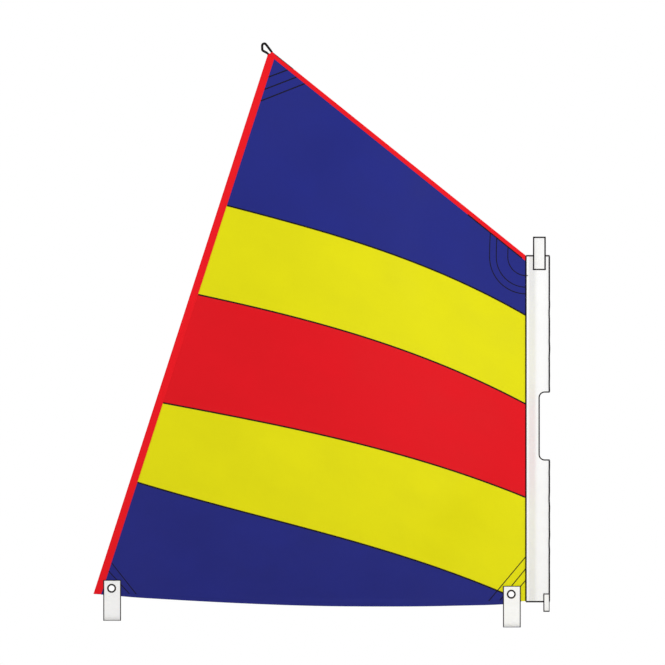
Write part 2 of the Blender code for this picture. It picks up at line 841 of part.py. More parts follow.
def clew_outlines():
    """Three-cornered patches between the leech tape and the foot."""
    leech_line = CLEW + LEECH_INWARD * (LEECH_TAPE_WIDTH + GAP)
    sill = Vector((CLEW.x, FOOT.height(leech_line.x) + PATCH_ABOVE_FOOT))
    corner = meet(leech_line, LEECH_ALONG, sill, Vector((1.0, 0.0)))
    return [
        foot_run(corner.x, CLEW.x + forward, 4) + [leech_line + LEECH_ALONG * up]
        for up, forward in CLEW_PATCHES
    ]


def tack_outlines():
    """Three-cornered patches between the sleeve and the foot."""
    aft_of_sleeve = -SLEEVE_AFT - GAP
    return [
        foot_run(-SLEEVE_AFT - aft, aft_of_sleeve, 4) + [Vector((aft_of_sleeve, up))]
        for up, aft in TACK_PATCHES
    ]


def throat_outlines():
    """Round patches between the head tape and the sleeve."""
    head_line = THROAT + HEAD_INWARD * (HEAD_TAPE_WIDTH + GAP)
    luff_line = Vector((-SLEEVE_AFT - GAP, 0.0))
    down = Vector((0.0, -1.0))
    corner = meet(head_line, HEAD_ALONG, luff_line, down)
    centre = THROAT + Vector((THROAT_PATCH_FORWARD, -THROAT_PATCH_BELOW))
    outlines = []
    for radius in THROAT_PATCHES:
        start = on_circle(centre, radius, head_line, -HEAD_ALONG) - centre
        stop = on_circle(centre, radius, luff_line, down) - centre
        first = math.atan2(start.y, start.x)
        turn = math.atan2(stop.y, stop.x) + 2 * math.pi - first
        arc = [first + turn * k / THROAT_STEPS for k in range(THROAT_STEPS + 1)]
        outlines.append([corner] + [centre + Vector((math.cos(a), math.sin(a))) * radius for a in arc])
    return outlines


def smooth_route(points, steps):
    """A smooth curve through points, with so many steps between each two."""
    padded = [2 * points[0] - points[1]] + points + [2 * points[-1] - points[-2]]
    route = []
    for before, start, stop, after in zip(padded, padded[1:], padded[2:], padded[3:]):
        for k in range(steps):
            t = k / steps
            bend = 2 * before - 5 * start + 4 * stop - after
            twist = 3 * start - before - 3 * stop + after
            route.append(start + ((stop - before) * t + bend * t**2 + twist * t**3) / 2)
    return route + [points[-1]]


def round_end(end, inner):
    """Points and radii of a rope's half-round end, from its tip to where the full rope starts."""
    outward = (end - inner).normalized()
    radius = ROPE_DIAMETER / 2
    turns = [math.radians(angle) for angle in (72, 48, 24)]
    return [(end + outward * radius * math.sin(a), radius * math.cos(a)) for a in turns]


def build_peak_loop(finish, collection):
    """The short stiff rope at the peak, bent round and sewn into the ends of the two tapes."""
    axis_up = ROPE_DIAMETER / 2 + GAP
    hinge = CUT_MIDDLE + CUT_OUTWARD * axis_up
    pivot = bpy.data.objects.new("peak_loop_pivot", None)
    pivot.location = (hinge.x, 0.0, hinge.y)
    collection.objects.link(pivot)
    knots = [CUT_ALONG * u + CUT_OUTWARD * (w - axis_up) for u, w in ROPE_ROUTE]
    route = smooth_route(knots, 3)
    body = [(point, ROPE_DIAMETER / 2) for point in route]
    drawn = round_end(route[0], route[1]) + body + round_end(route[-1], route[-2])[::-1]
    curve = bpy.data.curves.new("peak_loop", "CURVE")
    curve.dimensions = "3D"
    curve.bevel_depth = 1.0
    curve.bevel_resolution = 2
    curve.use_fill_caps = True
    spline = curve.splines.new("POLY")
    spline.points.add(len(drawn) - 1)
    for point, (place, radius) in zip(spline.points, drawn):
        point.co = (place.x, 0.0, place.y, 1.0)
        point.radius = radius
    made = bpy.data.objects.new("peak_loop", curve)
    curve.materials.append(finish)
    collection.objects.link(made)
    made.parent = pivot
    return made


def main():
    clear_scene()
    sail = new_collection("dinghy_sail")
    cutters = new_collection("cutters")
    blue = material("blue_sailcloth", "2A3082", 0.62)
    yellow = material("yellow_sailcloth", "DDD917", 0.62)
    red = material("red_sailcloth", "DE1B23", 0.62)
    red_tape = material("red_tape", "ED1B24", 0.58)
    white_cloth = material("white_sleeve_cloth", "F4F4F1", 0.66)
    webbing = material("white_webbing", "F2F1EC", 0.74)
    brass = material("blackened_brass", "2C2A29", 0.42, metallic=1.0)
    rope = material("black_rope", "232120", 0.80)

    clew_cutter = eyelet_cutter("clew", CLEW_EYELET, cutters)
    tack_cutter = eyelet_cutter("tack", TACK_EYELET, cutters)
    lower, foot = build_panels(blue, yellow, red, sail)
    cut(foot, clew_cutter)
    cut(foot, tack_cutter)
    cut(lower, tack_cutter)
    build_leech_tape(red_tape, sail)
    build_head_tape(red_tape, sail)
    build_sleeve(white_cloth, sail, cutters)

    single_back = FRONT_CLOTH + CLOTH / 2
    build_patches("peak", peak_outlines(), single_back, blue, sail)
    build_patches("throat", throat_outlines(), single_back, blue, sail)
    build_patches("clew", clew_outlines(), single_back, blue, sail, clew_cutter)
    build_patches("tack", tack_outlines(), CLOTH_FACE, yellow, sail, tack_cutter)

    build_sleeve_strap(
        "head_strap",
        HEAD_STRAP_AFT,
        HEAD_STRAP_FORE,
        SLEEVE_LENGTH,
        HEAD_STRAP_LEG,
        HEAD_STRAP_RISE,
        webbing,
        sail,
    )
    build_sleeve_strap(
        "downhaul_loop", DOWNHAUL_AFT, DOWNHAUL_FORE, 0.0, -DOWNHAUL_LEG, -DOWNHAUL_DROP, webbing, sail
    )
    build_boom_strap("clew_strap", CLEW_EYELET, CLEW_STRAP_BELOW, webbing, sail, clew_cutter)
    build_boom_strap("tack_strap", TACK_EYELET, TACK_STRAP_BELOW, webbing, sail, tack_cutter)
    build_eyelet("clew", CLEW_EYELET, brass, sail)
    build_eyelet("tack", TACK_EYELET, brass, sail)
    build_peak_loop(rope, sail)


main()
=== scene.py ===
"""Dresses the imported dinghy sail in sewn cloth, tape, webbing, rope and thread, and lights it."""

import logging
import math
from dataclasses import dataclass, replace
from enum import Enum

import bmesh
import bpy
import numpy as np
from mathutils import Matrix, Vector


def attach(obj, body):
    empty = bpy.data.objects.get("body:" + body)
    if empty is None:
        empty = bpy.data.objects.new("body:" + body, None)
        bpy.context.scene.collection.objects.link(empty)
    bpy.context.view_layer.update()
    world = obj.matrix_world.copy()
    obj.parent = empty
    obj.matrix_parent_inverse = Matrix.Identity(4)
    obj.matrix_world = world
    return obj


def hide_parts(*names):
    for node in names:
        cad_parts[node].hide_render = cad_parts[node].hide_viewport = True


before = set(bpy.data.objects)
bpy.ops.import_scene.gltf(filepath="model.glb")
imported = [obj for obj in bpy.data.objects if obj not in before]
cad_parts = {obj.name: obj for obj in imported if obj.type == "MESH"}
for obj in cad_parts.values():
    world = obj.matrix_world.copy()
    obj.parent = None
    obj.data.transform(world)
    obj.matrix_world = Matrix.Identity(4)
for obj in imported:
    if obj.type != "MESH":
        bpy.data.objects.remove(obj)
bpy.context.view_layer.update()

LOG = logging.getLogger("sail")
Array = np.ndarray
Pair = tuple[float, float]
Tree = bpy.types.NodeTree
Node = bpy.types.Node
Socket = bpy.types.NodeSocket
Piece = bpy.types.Object
Material = bpy.types.Material
Inputs = dict[str | int, object]

# A row of stitches: where each starts, its crest, where it ends and which way is off the cloth
Row = tuple[Array, Array, Array, Array]


class Side(Enum):
    """The side of the sail that a layer or a row of thread lies on."""

    FRONT = -1.0
    BACK = 1.0


class Way(Enum):
    """Whether the lapping cloth of a seam lies above or below its line."""

    ABOVE = 1.0
    BELOW = -1.0


class Body(Enum):
    """The moving bodies that a piece may ride on."""

    SAIL = "sail"
    CLEW_STRAP = "clew_strap"
    TACK_STRAP = "tack_strap"
    PEAK_LOOP = "peak_loop"


class Slot(Enum):
    """The material slots of the record that the pieces here wear."""

    BLUE = "blue_cloth"
    YELLOW = "yellow_cloth"
    RED = "red_cloth"
    TAPE = "red_tape"
    SLEEVE = "sleeve_cloth"
    WEBBING = "webbing"
    BLACK = "black_rope"


def linear_colour(code: str) -> tuple[float, ...]:
    """Turns an sRGB hex colour into the linear colour, with an alpha of 1, that a shader takes."""
    channels = (int(code[start : start + 2], 16) / 255 for start in (0, 2, 4))
    return (*(c / 12.92 if c <= 0.04045 else ((c + 0.055) / 1.055) ** 2.4 for c in channels), 1.0)


def smooth_step(value: Array) -> Array:
    """Rises smoothly from 0 at 0 to 1 at 1."""
    t = np.clip(value, 0.0, 1.0)
    return t * t * t * (t * (6 * t - 15) + 10)


def unit(vector: Array) -> Array:
    """Scales vectors, along the last axis, to length 1."""
    return vector / np.maximum(np.linalg.norm(vector, axis=-1, keepdims=True), 1e-12)


def points_at(*coordinates: Array | float) -> Array:
    """Puts two or three coordinates together as points, with single ones repeated."""
    return np.stack(np.broadcast_arrays(*coordinates), axis=-1)


def everywhere(direction: tuple[float, float, float], points: Array) -> Array:
    """Repeats one direction at each of a line of points."""
    return np.broadcast_to(np.array(direction), (len(points), 3))


def run_lengths(points: Array) -> Array:
    """Gives the length along a line of points up to each of them."""
    steps = np.linalg.norm(np.diff(points, axis=0), axis=1)
    return np.concatenate([[0.0], np.cumsum(steps)])


def resample(points: Array, spacing: float) -> Array:
    """Lays points evenly along a line.

    Args:
        points: The line's points, one a row.
        spacing: About how far apart the new points are.

    Returns:
        The new points, with the line's own ends.
    """
    lengths = run_lengths(points)
    count = max(2, round(lengths[-1] / spacing) + 1)
    wanted = np.linspace(0.0, lengths[-1], count)
    return np.stack([np.interp(wanted, lengths, column) for column in points.T], axis=1)


def smooth_route(knots: Array, steps: int) -> Array:
    """Runs a smooth curve through its knots.

    Args:
        knots: The points that it passes, one a row.
        steps: How many points it gets from each knot to the next.

    Returns:
        The points of the curve.
    """
    padded = np.vstack([2 * knots[0] - knots[1], knots, 2 * knots[-1] - knots[-2]])
    t = (np.arange(steps) / steps)[:, None]
    parts = []
    for before, start, stop, after in zip(padded, padded[1:], padded[2:], padded[3:]):
        bend = 2 * before - 5 * start + 4 * stop - after
        twist = 3 * start - before - 3 * stop + after
        parts.append(start + ((stop - before) * t + bend * t**2 + twist * t**3) / 2)
    return np.vstack(parts + [knots[-1:]])


@dataclass(frozen=True)
class Layers:
    """Thicknesses of the layers, and how far from the middle of the sail each of them lies."""

    cloth: float = 0.0012
    sleeve: float = 0.0012
    tape: float = 0.0010
    patch: float = 0.0006
    webbing: float = 0.0015
    gap: float = 0.0003
    patch_count: int = 3

    @property
    def panel(self) -> float:
        """The middle of a panel."""
        return (self.cloth + self.gap) / 2

    @property
    def face(self) -> float:
        """The outer face of a panel."""
        return self.cloth + self.gap / 2

    @property
    def inner(self) -> float:
        """The inner face of a panel."""
        return self.gap / 2

    @property
    def tape_lift(self) -> float:
        """The middle of a tape's wall."""
        return self.face + self.gap + self.tape / 2

    @property
    def tape_over_tape(self) -> float:
        """The middle of the head tape's wall on the leech tape."""
        return self.tape_lift + self.tape + self.gap

    @property
    def under_tape(self) -> float:
        """How far in from a taped edge the cloth inside the tape's fold ends."""
        return self.tape_lift + self.tape / 2 + self.gap

    @property
    def seam(self) -> float:
        """The middle of the sleeve's flat flange."""
        return self.face + self.gap + self.sleeve / 2

    @property
    def flange_face(self) -> float:
        """The outer face of the sleeve's flange."""
        return self.seam + self.sleeve / 2

    @property
    def strap_front(self) -> float:
        """The middle of a boom strap's front leg."""
        return self.face + self.gap + self.tape + self.gap + self.webbing / 2

    @property
    def strap_back(self) -> float:
        """The middle of a boom strap's back leg, behind the patches."""
        return self.face + self.patch_count * (self.patch + self.gap) + self.gap + self.webbing / 2


LAYERS = Layers()

# Corners of the finished sail as (x, z), and the ways along its leech, its head and the peak's cut end
CLEW = np.array((-1.9990, 0.0315))
PEAK = np.array((-1.2075, 2.4810))
THROAT = np.array((-0.0540, 1.5540))
TACK = np.array((-0.0540, 0.0))
LEECH_ALONG = unit(PEAK - CLEW)
LEECH_INWARD = np.array((LEECH_ALONG[1], -LEECH_ALONG[0]))
LEECH_RUN = float(LEECH_ALONG[0] / LEECH_ALONG[1])
HEAD_ALONG = unit(THROAT - PEAK)
HEAD_INWARD = np.array((HEAD_ALONG[1], -HEAD_ALONG[0]))
PEAK_CUT_LEECH = 0.0220
PEAK_CUT_HEAD = 0.0160
CUT_AFT = PEAK - LEECH_ALONG * PEAK_CUT_LEECH
CUT_FORE = PEAK + HEAD_ALONG * PEAK_CUT_HEAD
CUT_ALONG = unit(CUT_FORE - CUT_AFT)
CUT_OUTWARD = np.array((-CUT_ALONG[1], CUT_ALONG[0]))
CUT_MIDDLE = (CUT_AFT + CUT_FORE) / 2

# Widths of laps, tapes and hem, and how finely the cloth and its slopes are worked out
LAP = 0.0130
LEECH_TAPE_WIDTH = 0.0320
HEAD_TAPE_WIDTH = 0.0198
HEM_WIDTH = 0.0120
CLOTH_CELL = 0.009
SLOPE_STEP = 0.0005
EDGE_START_ROUNDS = 8


@dataclass(frozen=True)
class BandEdge:
    """A curved edge between two bands, from the leech to the sleeve's aft edge.

    Its ends are shares of the leech and of the luff. Its rounds, as shares of the luff, lift it at its
    thirds, as the handles of a cubic curve do.
    """

    up_leech: float
    up_luff: float
    aft_round: float = 0.0
    fore_round: float = 0.0

    @property
    def leech_height(self) -> float:
        """The height at which the edge meets the leech."""
        return float(CLEW[1] + (PEAK[1] - CLEW[1]) * self.up_leech)

    def along(self, x: Array) -> Array:
        """Tells how far x is along the edge, 0 at the leech and 1 at the sleeve."""
        start = leech_x(self.leech_height)
        return np.clip((x - start) / (TACK[0] - start), 0.0, 1.0)

    def height(self, x: Array) -> Array:
        """Gives the height of the edge.

        Args:
            x: Places along the sail.

        Returns:
            The heights there, level past the edge's ends.
        """
        t = self.along(x)
        rounds = (1 - t) * self.aft_round + t * self.fore_round
        lift = 3 * t * (1 - t) * rounds * THROAT[1]
        return self.leech_height * (1 - t) + THROAT[1] * self.up_luff * t + lift

    def slope(self, x: Array) -> Array:
        """Gives the slope of the edge at x."""
        return (self.height(x + SLOPE_STEP) - self.height(x - SLOPE_STEP)) / (2 * SLOPE_STEP)

    def start(self, inset: float) -> float:
        """Finds the start of the edge.

        Args:
            inset: How far in from the leech it starts.

        Returns:
            The x of its first point.
        """
        x = leech_x(self.leech_height)
        for _ in range(EDGE_START_ROUNDS):
            x = leech_x(float(self.height(np.array(x)))) + inset / LEECH_INWARD[0]
        return float(x)

    def beside(self, x: Array, distance: Array) -> Array:
        """Moves points of the edge to a distance above it, along the fan of leech and luff.

        Args:
            x: The x of the points on the edge.
            distance: How far above the edge they go, below it where negative.

        Returns:
            The moved points, as (x, z) along the last axis.
        """
        run = LEECH_RUN * (1 - self.along(x))
        slope = self.slope(x)
        rise = distance * np.sqrt(1 + slope**2) / (1 - slope * run)
        return points_at(x + run * rise, self.height(x) + rise)


def leech_x(height: float) -> float:
    """Gives the x of the finished leech at a height."""
    return float(CLEW[0] + (height - CLEW[1]) * LEECH_RUN)


# Edges of the bands from the foot up, and which side of each seam the lapping cloth lies on
FOOT = BandEdge(0.0, 0.0, -0.0199, -0.0380)
FOOT_SEAM = BandEdge(0.2095, -0.0051, 0.0001, 0.0550)
LOWER_SEAM = BandEdge(0.3541, 0.3004, 0.0248, 0.0532)
UPPER_SEAM = BandEdge(0.5532, 0.5706, 0.0380, 0.0650)
HEAD_SEAM = BandEdge(0.7175, 0.8277, 0.0313, 0.0624)
HEAD = BandEdge(1.0, 1.0)
SEAMS = ((FOOT_SEAM, Way.BELOW), (LOWER_SEAM, Way.ABOVE), (UPPER_SEAM, Way.BELOW), (HEAD_SEAM, Way.ABOVE))

# Each patch's reach from its corner along both edges, the throat's round patches by their radius
PEAK_PATCHES = ((0.2322, 0.2190), (0.1777, 0.1717), (0.1195, 0.1200))
CLEW_PATCHES = ((0.1585, 0.1981), (0.1186, 0.1680))
TACK_PATCHES = ((0.2003, 0.1746), (0.1467, 0.1242), (0.0945, 0.0840))
THROAT_PATCHES = (0.1660, 0.1360, 0.0840)
THROAT_CENTRE = THROAT + np.array((0.0022, -0.0060))
PATCH_LINE_WIDTHS = {"peak": 0.0064, "throat": 0.0046, "clew": 0.0042, "tack": 0.0050}
PATCH_ABOVE_FOOT = 0.0030
FOOT_TIP_SEARCH = 0.152
FOOT_TIP_ROUNDS = 40
FOOT_TIP_CLOTHS = 3


def foot_tip() -> float:
    """Finds where the foot panel has tapered to a blunt end, a few cloths high, near the tack.

    Returns:
        The x of that end.
    """
    low, high = float(TACK[0]) - FOOT_TIP_SEARCH, float(TACK[0])
    for _ in range(FOOT_TIP_ROUNDS):
        middle = np.array((low + high) / 2)
        if FOOT_SEAM.height(middle) - FOOT.height(middle) > FOOT_TIP_CLOTHS * LAYERS.cloth:
            low = float(middle)
        else:
            high = float(middle)
    return low


@dataclass(frozen=True)
class Wave:
    """A small wave of the cloth: its run along x and z in radians a metre, its start and its height."""

    along_x: float
    along_z: float
    start: float = 0.0
    share: float = 1.0

    def at(self, x: Array, z: Array, number: int = 1) -> Array:
        """Gives how far the wave stands up at places of the sail, with its start taken so many times."""
        return self.share * np.sin(self.along_x * x + self.along_z * z + self.start * number)


@dataclass(frozen=True)
class SetSail:
    """The surface that every sewn layer of the sail shares: its belly and its small unevenness.

    Each seam's puckers start elsewhere, by its number, and so do each corner's creases.
    """

    depth: float = 0.0900
    place: float = 0.40
    fullest: float = 0.45
    at_foot: float = 0.50
    at_head: float = 0.40
    corner_ease: float = 0.4500
    flat_margin: float = 0.0150
    entry_margin: float = 0.0040
    pucker_depth: float = 0.00022
    pucker_reach: float = 0.024
    pucker_waves: tuple[Wave, Wave] = (Wave(153.0, 0.0, 1.7), Wave(94.0, 3.0, 2.9, 0.6))
    pucker_rise: float = 6.0
    swell_depth: float = 0.0013
    long_swell: Wave = Wave(9.1, 5.3, 0.6)
    short_swell: Wave = Wave(-6.1, 14.3, 0.0, 0.7)
    swell_fade: float = 4.1
    crease_depth: float = 0.0007
    crease_count: float = 21.0
    crease_start: float = 2.0
    crease_reach: float = 0.62
    luff_calm: Pair = (0.020, 0.10)

    def flatness(self, x: Array, z: Array) -> Array:
        """Tells how free of its corners' patches the cloth is.

        Args:
            x: Places along the sail.
            z: Their heights.

        Returns:
            The share, 0 on the patches and 1 far from them.
        """
        corners = ((CLEW, CLEW_PATCHES), (PEAK, PEAK_PATCHES), (THROAT, THROAT_PATCHES), (TACK, TACK_PATCHES))
        share = np.ones_like(x)
        for corner, patches in corners:
            away = np.hypot(x - corner[0], z - corner[1]) - np.max(patches[0]) - self.flat_margin
            share = share * smooth_step(away / self.corner_ease)
        return share

    def belly(self, x: Array, z: Array) -> Array:
        """Gives the smooth set sail.

        Args:
            x: Places along the sail.
            z: Their heights.

        Returns:
            The y there, negative towards the viewer.
        """
        from_luff = np.maximum(0.0, TACK[0] - self.entry_margin - x)
        from_leech = np.maximum(0.0, (x - CLEW[0]) * LEECH_INWARD[0] + (z - CLEW[1]) * LEECH_INWARD[1])
        from_foot = np.maximum(0.0, z - CLEW[1] * (TACK[0] - x) / (TACK[0] - CLEW[0]))
        from_head = np.maximum(0.0, (x - PEAK[0]) * HEAD_INWARD[0] + (z - PEAK[1]) * HEAD_INWARD[1])
        u = from_luff / np.maximum(from_luff + from_leech, LAYERS.gap)
        v = from_foot / np.maximum(from_foot + from_head, LAYERS.gap)
        power = (1 - self.place) / self.place
        across = u * (1 - u) ** power / (self.place * (1 - self.place) ** power)
        low = 1 - (1 - self.at_foot) * ((self.fullest - v) / self.fullest) ** 2
        high = 1 - (1 - self.at_head) * ((v - self.fullest) / (1 - self.fullest)) ** 2
        up = np.where(v < self.fullest, low, high)
        return -self.depth * across * up * self.flatness(x, z)

    def relief(self, x: Array, z: Array) -> Array:
        """Gives the puckers along the seams, the broad swells and the creases pulled from the corners.

        Args:
            x: Places along the sail.
            z: Their heights.

        Returns:
            What they add to the y there.
        """
        puckers = np.zeros_like(x)
        for number, (edge, _) in enumerate(SEAMS):
            away = (z - edge.height(x)) / np.sqrt(1 + edge.slope(x) ** 2)
            waves = sum(wave.at(x, z, number) for wave in self.pucker_waves)
            puckers += waves * np.exp(-((away / self.pucker_reach) ** 2))
        swell = self.long_swell.at(x, z) + self.short_swell.at(x, z) * np.cos(self.swell_fade * x)
        creases = np.zeros_like(x)
        for number, corner in enumerate((CLEW, PEAK, THROAT, TACK)):
            far = np.hypot(x - corner[0], z - corner[1])
            turn = np.arctan2(z - corner[1], x - corner[0])
            fading = np.exp(-((far / self.crease_reach) ** 2))
            creases += np.sin(self.crease_count * turn + self.crease_start * number) * fading
        at_luff = smooth_step((TACK[0] - self.luff_calm[0] - x) / self.luff_calm[1])
        loose = self.swell_depth * swell + self.crease_depth * creases
        flatness = self.flatness(x, z)
        beside_patches = smooth_step(flatness * self.pucker_rise)
        return (self.pucker_depth * puckers * beside_patches + loose * flatness) * at_luff

    def height(self, x: Array, z: Array) -> Array:
        """Gives the y of the middle of the sail."""
        return self.belly(x, z) + self.relief(x, z)

    def at(self, flat: Array, lift: Array | float) -> Array:
        """Lays points of the plan on the set sail.

        Args:
            flat: Points as (x, z) along the last axis.
            lift: Their height square to the middle of the sail, positive to the back.

        Returns:
            The points as (x, y, z) along the last axis.
        """
        x, z, step = flat[..., 0], flat[..., 1], SLOPE_STEP
        slope_x = (self.height(x + step, z) - self.height(x - step, z)) / (2 * step)
        slope_z = (self.height(x, z + step) - self.height(x, z - step)) / (2 * step)
        return points_at(x, self.height(x, z) + lift * np.sqrt(1 + slope_x**2 + slope_z**2), z)


SAIL = SetSail()


@dataclass(frozen=True)
class MastSleeve:
    """The wall of the mast sleeve: a flat flange on each side, a round about the mast and a long nose."""

    aft: float = -0.0540
    flange_fore: float = -0.0420
    radius: float = 0.0266
    front: float = 0.0514
    length: float = 1.5525
    round_steps: int = 24
    nose_steps: int = 40
    fold_depth: float = 0.0005
    fold_waves: tuple[Wave, ...] = (Wave(30.0, 61.0), Wave(-55.0, 97.0, 1.0, 0.8), Wave(0.0, 23.0, 0.0, 0.6))
    fold_fade: float = 0.12
    flat_below: float = 0.07
    flat_above: float = 0.09
    fold_aft: float = -0.040
    fold_aft_fade: float = 0.03
    window_middle: float = 0.7875
    window_calm: float = 0.20

    def half(self) -> tuple[Array, Array]:
        """Lays out the back half of the section, from the seam to the nose.

        Returns:
            Its points as (x, y), and their outward normals.
        """
        seam_end = np.array((self.flange_fore, LAYERS.seam))
        reach = math.atan2(seam_end[1], seam_end[0]) - math.acos(self.radius / float(np.hypot(*seam_end)))
        turn = np.linspace(reach, math.pi / 2, self.round_steps)
        around = points_at(np.cos(turn), np.sin(turn))
        quarter = np.linspace(math.pi / 2, 0.0, self.nose_steps)[1:]
        nose = points_at(self.front * np.cos(quarter), self.radius * np.sin(quarter))
        nose_out = unit(points_at(np.cos(quarter) / self.front, np.sin(quarter) / self.radius))
        points = np.vstack([(self.aft, LAYERS.seam), seam_end, around * self.radius, nose])
        normals = np.vstack([(0.0, 1.0), around[0], around, nose_out])
        return points, normals

    def section(self, spacing: float) -> tuple[Array, Array]:
        """Lays points evenly round the whole section, from the front seam round the nose to the back.

        Args:
            spacing: About how far apart they are.

        Returns:
            The points as (x, y), and their outward normals.
        """
        points, normals = self.half()
        # The normals ride along, made so small that they don't count in the length
        even = resample(np.hstack([points, normals]) * (1, 1, 1e-6, 1e-6), spacing)
        back, out = even[:, :2], unit(even[:, 2:])
        flip = np.array((1.0, -1.0))
        return np.vstack([back * flip, back[-2::-1]]), np.vstack([out * flip, out[-2::-1]])

    def side_at(self, x: Array, side: Side) -> tuple[Array, Array]:
        """Finds the wall at stations in x.

        Args:
            x: The stations, aft of the nose.
            side: The side of the sleeve.

        Returns:
            The wall's y, and its outward normals as (x, y) along the last axis.
        """
        points, normals = self.half()
        y = np.interp(x, points[:, 0], points[:, 1])
        out = unit(np.stack([np.interp(x, points[:, 0], n) for n in normals.T], axis=-1))
        return y * side.value, out * (1.0, side.value)

    def folds(self, x: Array, z: Array) -> Array:
        """Gives the sleeve's soft cross folds, which die out at its ends, seams and window.

        Args:
            x: Places along the sail.
            z: Their heights.

        Returns:
            How far the folds lift the wall there.
        """
        low = smooth_step((z - self.flat_below) / self.fold_fade)
        ends = low * smooth_step((self.length - self.flat_above - z) / self.fold_fade)
        body = smooth_step((x - self.fold_aft) / self.fold_aft_fade)
        window = 1 - np.exp(-(((z - self.window_middle) / self.window_calm) ** 4))
        waves = sum(wave.at(x, z) for wave in self.fold_waves)
        return self.fold_depth * waves * ends * body * window


SLEEVE = MastSleeve()


def fill_inputs(tree: Tree, node: Node, values: Inputs) -> None:
    """Fills the inputs of a node.

    Args:
        tree: The node's tree.
        node: The node.
        values: What inputs, by name or number, get: a value, an output, or a node for its first output.
    """
    for key, value in values.items():
        source = value.outputs[0] if isinstance(value, Node) else value
        if isinstance(source, Socket):
            tree.links.new(source, node.inputs[key])
        else:
            node.inputs[key].default_value = source


def add_node(tree: Tree, kind: str, values: Inputs | None = None, **settings: object) -> Node:
    """Adds a shader node.

    A colour mix takes its share at input 0 and its colours at 6 and 7, and gives its colour at output 2.

    Args:
        tree: The tree that it goes into.
        kind: The node's type, without the ShaderNode that they all begin with.
        values: What its inputs get.
        **settings: The node's own settings.

    Returns:
        The new node.
    """
    made = tree.nodes.new("ShaderNode" + kind)
    for name, setting in settings.items():
        setattr(made, name, setting)
    fill_inputs(tree, made, values or {})
    return made


def new_finish(name: str) -> tuple[Material, Tree, Node]:
    """Starts a material.

    Args:
        name: Its name.

    Returns:
        The material, its node tree and its shader.
    """
    made = bpy.data.materials.new(name)
    made.use_nodes = True
    tree = made.node_tree
    return made, tree, tree.nodes["Principled BSDF"]


def stretched_noise(tree: Tree, spot: Node, scale: Pair, detail: float = 2.0) -> Node:
    """Adds noise, from 0 to 1, with so many features a metre along u and along v, and so many octaves."""
    turned = add_node(tree, "Mapping", {"Vector": spot, "Scale": (scale[0], scale[1], 1.0)})
    return add_node(tree, "TexNoise", {"Vector": turned, "Scale": 1.0, "Detail": detail})


def threads(tree: Tree, spot: Node, pitch: Pair) -> tuple[Socket, Socket]:
    """Adds the ribs of the two sets of threads in a weave.

    Args:
        tree: The material's node tree.
        spot: The coordinates that they read, in metres.
        pitch: The thread spacing along u and along v, in metres.

    Returns:
        The height of the threads that cross u, and of those that cross v, from 0 to 1.
    """
    ribs = []
    for axis, spacing in zip("XY", pitch):
        # A wave texture's bands repeat every pi / 10 of its scaled coordinate
        values = {"Vector": spot, "Scale": math.pi / 10 / spacing, "Distortion": 0.0}
        ribs.append(add_node(tree, "TexWave", values, bands_direction=axis).outputs["Fac"])
    return ribs[0], ribs[1]


@dataclass(frozen=True)
class DyedYarn:
    """What all goods of dyed polyester share: two close shades, a dull surface and threads that stand up."""

    name: str
    colour: str
    light: str
    roughness: float = 0.58
    specular: float = 0.12

    def shade(self, tree: Tree, shader: Node, share: Node, height: Node, depth: float) -> None:
        """Gives a shader the two shades and the relief of the threads.

        Args:
            tree: The material's node tree.
            shader: Its shader.
            share: How much of the light shade there is.
            height: How far the threads stand up, from 0 to 1.
            depth: How high 1 is, in metres.
        """
        mix = {0: share, 6: linear_colour(self.colour), 7: linear_colour(self.light)}
        colour = add_node(tree, "Mix", mix, data_type="RGBA").outputs[2]
        bump = add_node(tree, "Bump", {"Height": height, "Distance": depth})
        look = {"Base Color": colour, "Roughness": self.roughness, "Specular IOR Level": self.specular}
        fill_inputs(tree, shader, look | {"Normal": bump})


@dataclass(frozen=True)
class Sailcloth(DyedYarn):
    """Woven polyester sailcloth, heat-set and rolled smooth.

    It gives the eye an even, slightly soft sheen, thicker threads that run through as fine streaks, and
    faint broad differences where the dye and the resin took unevenly. Its threads lie about 0.3 mm apart,
    and are drawn 5 times as coarse so that a close view shows them.
    """

    roughness: float = 0.60
    thread_pitch: float = 0.0015
    thread_depth: float = 0.00006
    streak: float = 0.20
    streaks: Pair = (14.0, 620.0)
    clouds: Pair = (3.2, 4.6)

    def build(self) -> Material:
        """Makes the material.

        Returns:
            The material.
        """
        made, tree, shader = new_finish(self.name)
        spot = add_node(tree, "UVMap", uv_map="cloth")
        warp = stretched_noise(tree, spot, self.streaks)
        weft = stretched_noise(tree, spot, self.streaks[::-1])
        cloudy = stretched_noise(tree, spot, self.clouds, 4.0)
        crossed = add_node(tree, "Math", {0: warp, 1: weft}, operation="ADD")
        limits = {"Value": crossed, "From Min": 0.7, "From Max": 1.3, "To Max": self.streak}
        streaky = add_node(tree, "MapRange", limits)
        limits = {"Value": cloudy, "From Min": 0.35, "From Max": 0.65, "To Max": 0.5}
        patchy = add_node(tree, "MapRange", limits)
        share = add_node(tree, "Math", {0: streaky, 1: patchy}, operation="ADD")
        across, along = threads(tree, spot, (self.thread_pitch, self.thread_pitch))
        weave = add_node(tree, "Math", {0: across, 1: along}, operation="MULTIPLY")
        slubs = add_node(tree, "Math", {0: warp, 1: weft}, operation="MULTIPLY")
        height = add_node(tree, "Math", {0: weave, 1: slubs}, operation="ADD")
        self.shade(tree, shader, share, height, self.thread_depth)
        low, high = self.roughness - 0.05, self.roughness + 0.05
        limits = {"Value": cloudy, "From Min": 0.3, "From Max": 0.7, "To Min": low, "To Max": high}
        fill_inputs(tree, shader, {"Roughness": add_node(tree, "MapRange", limits)})
        return made


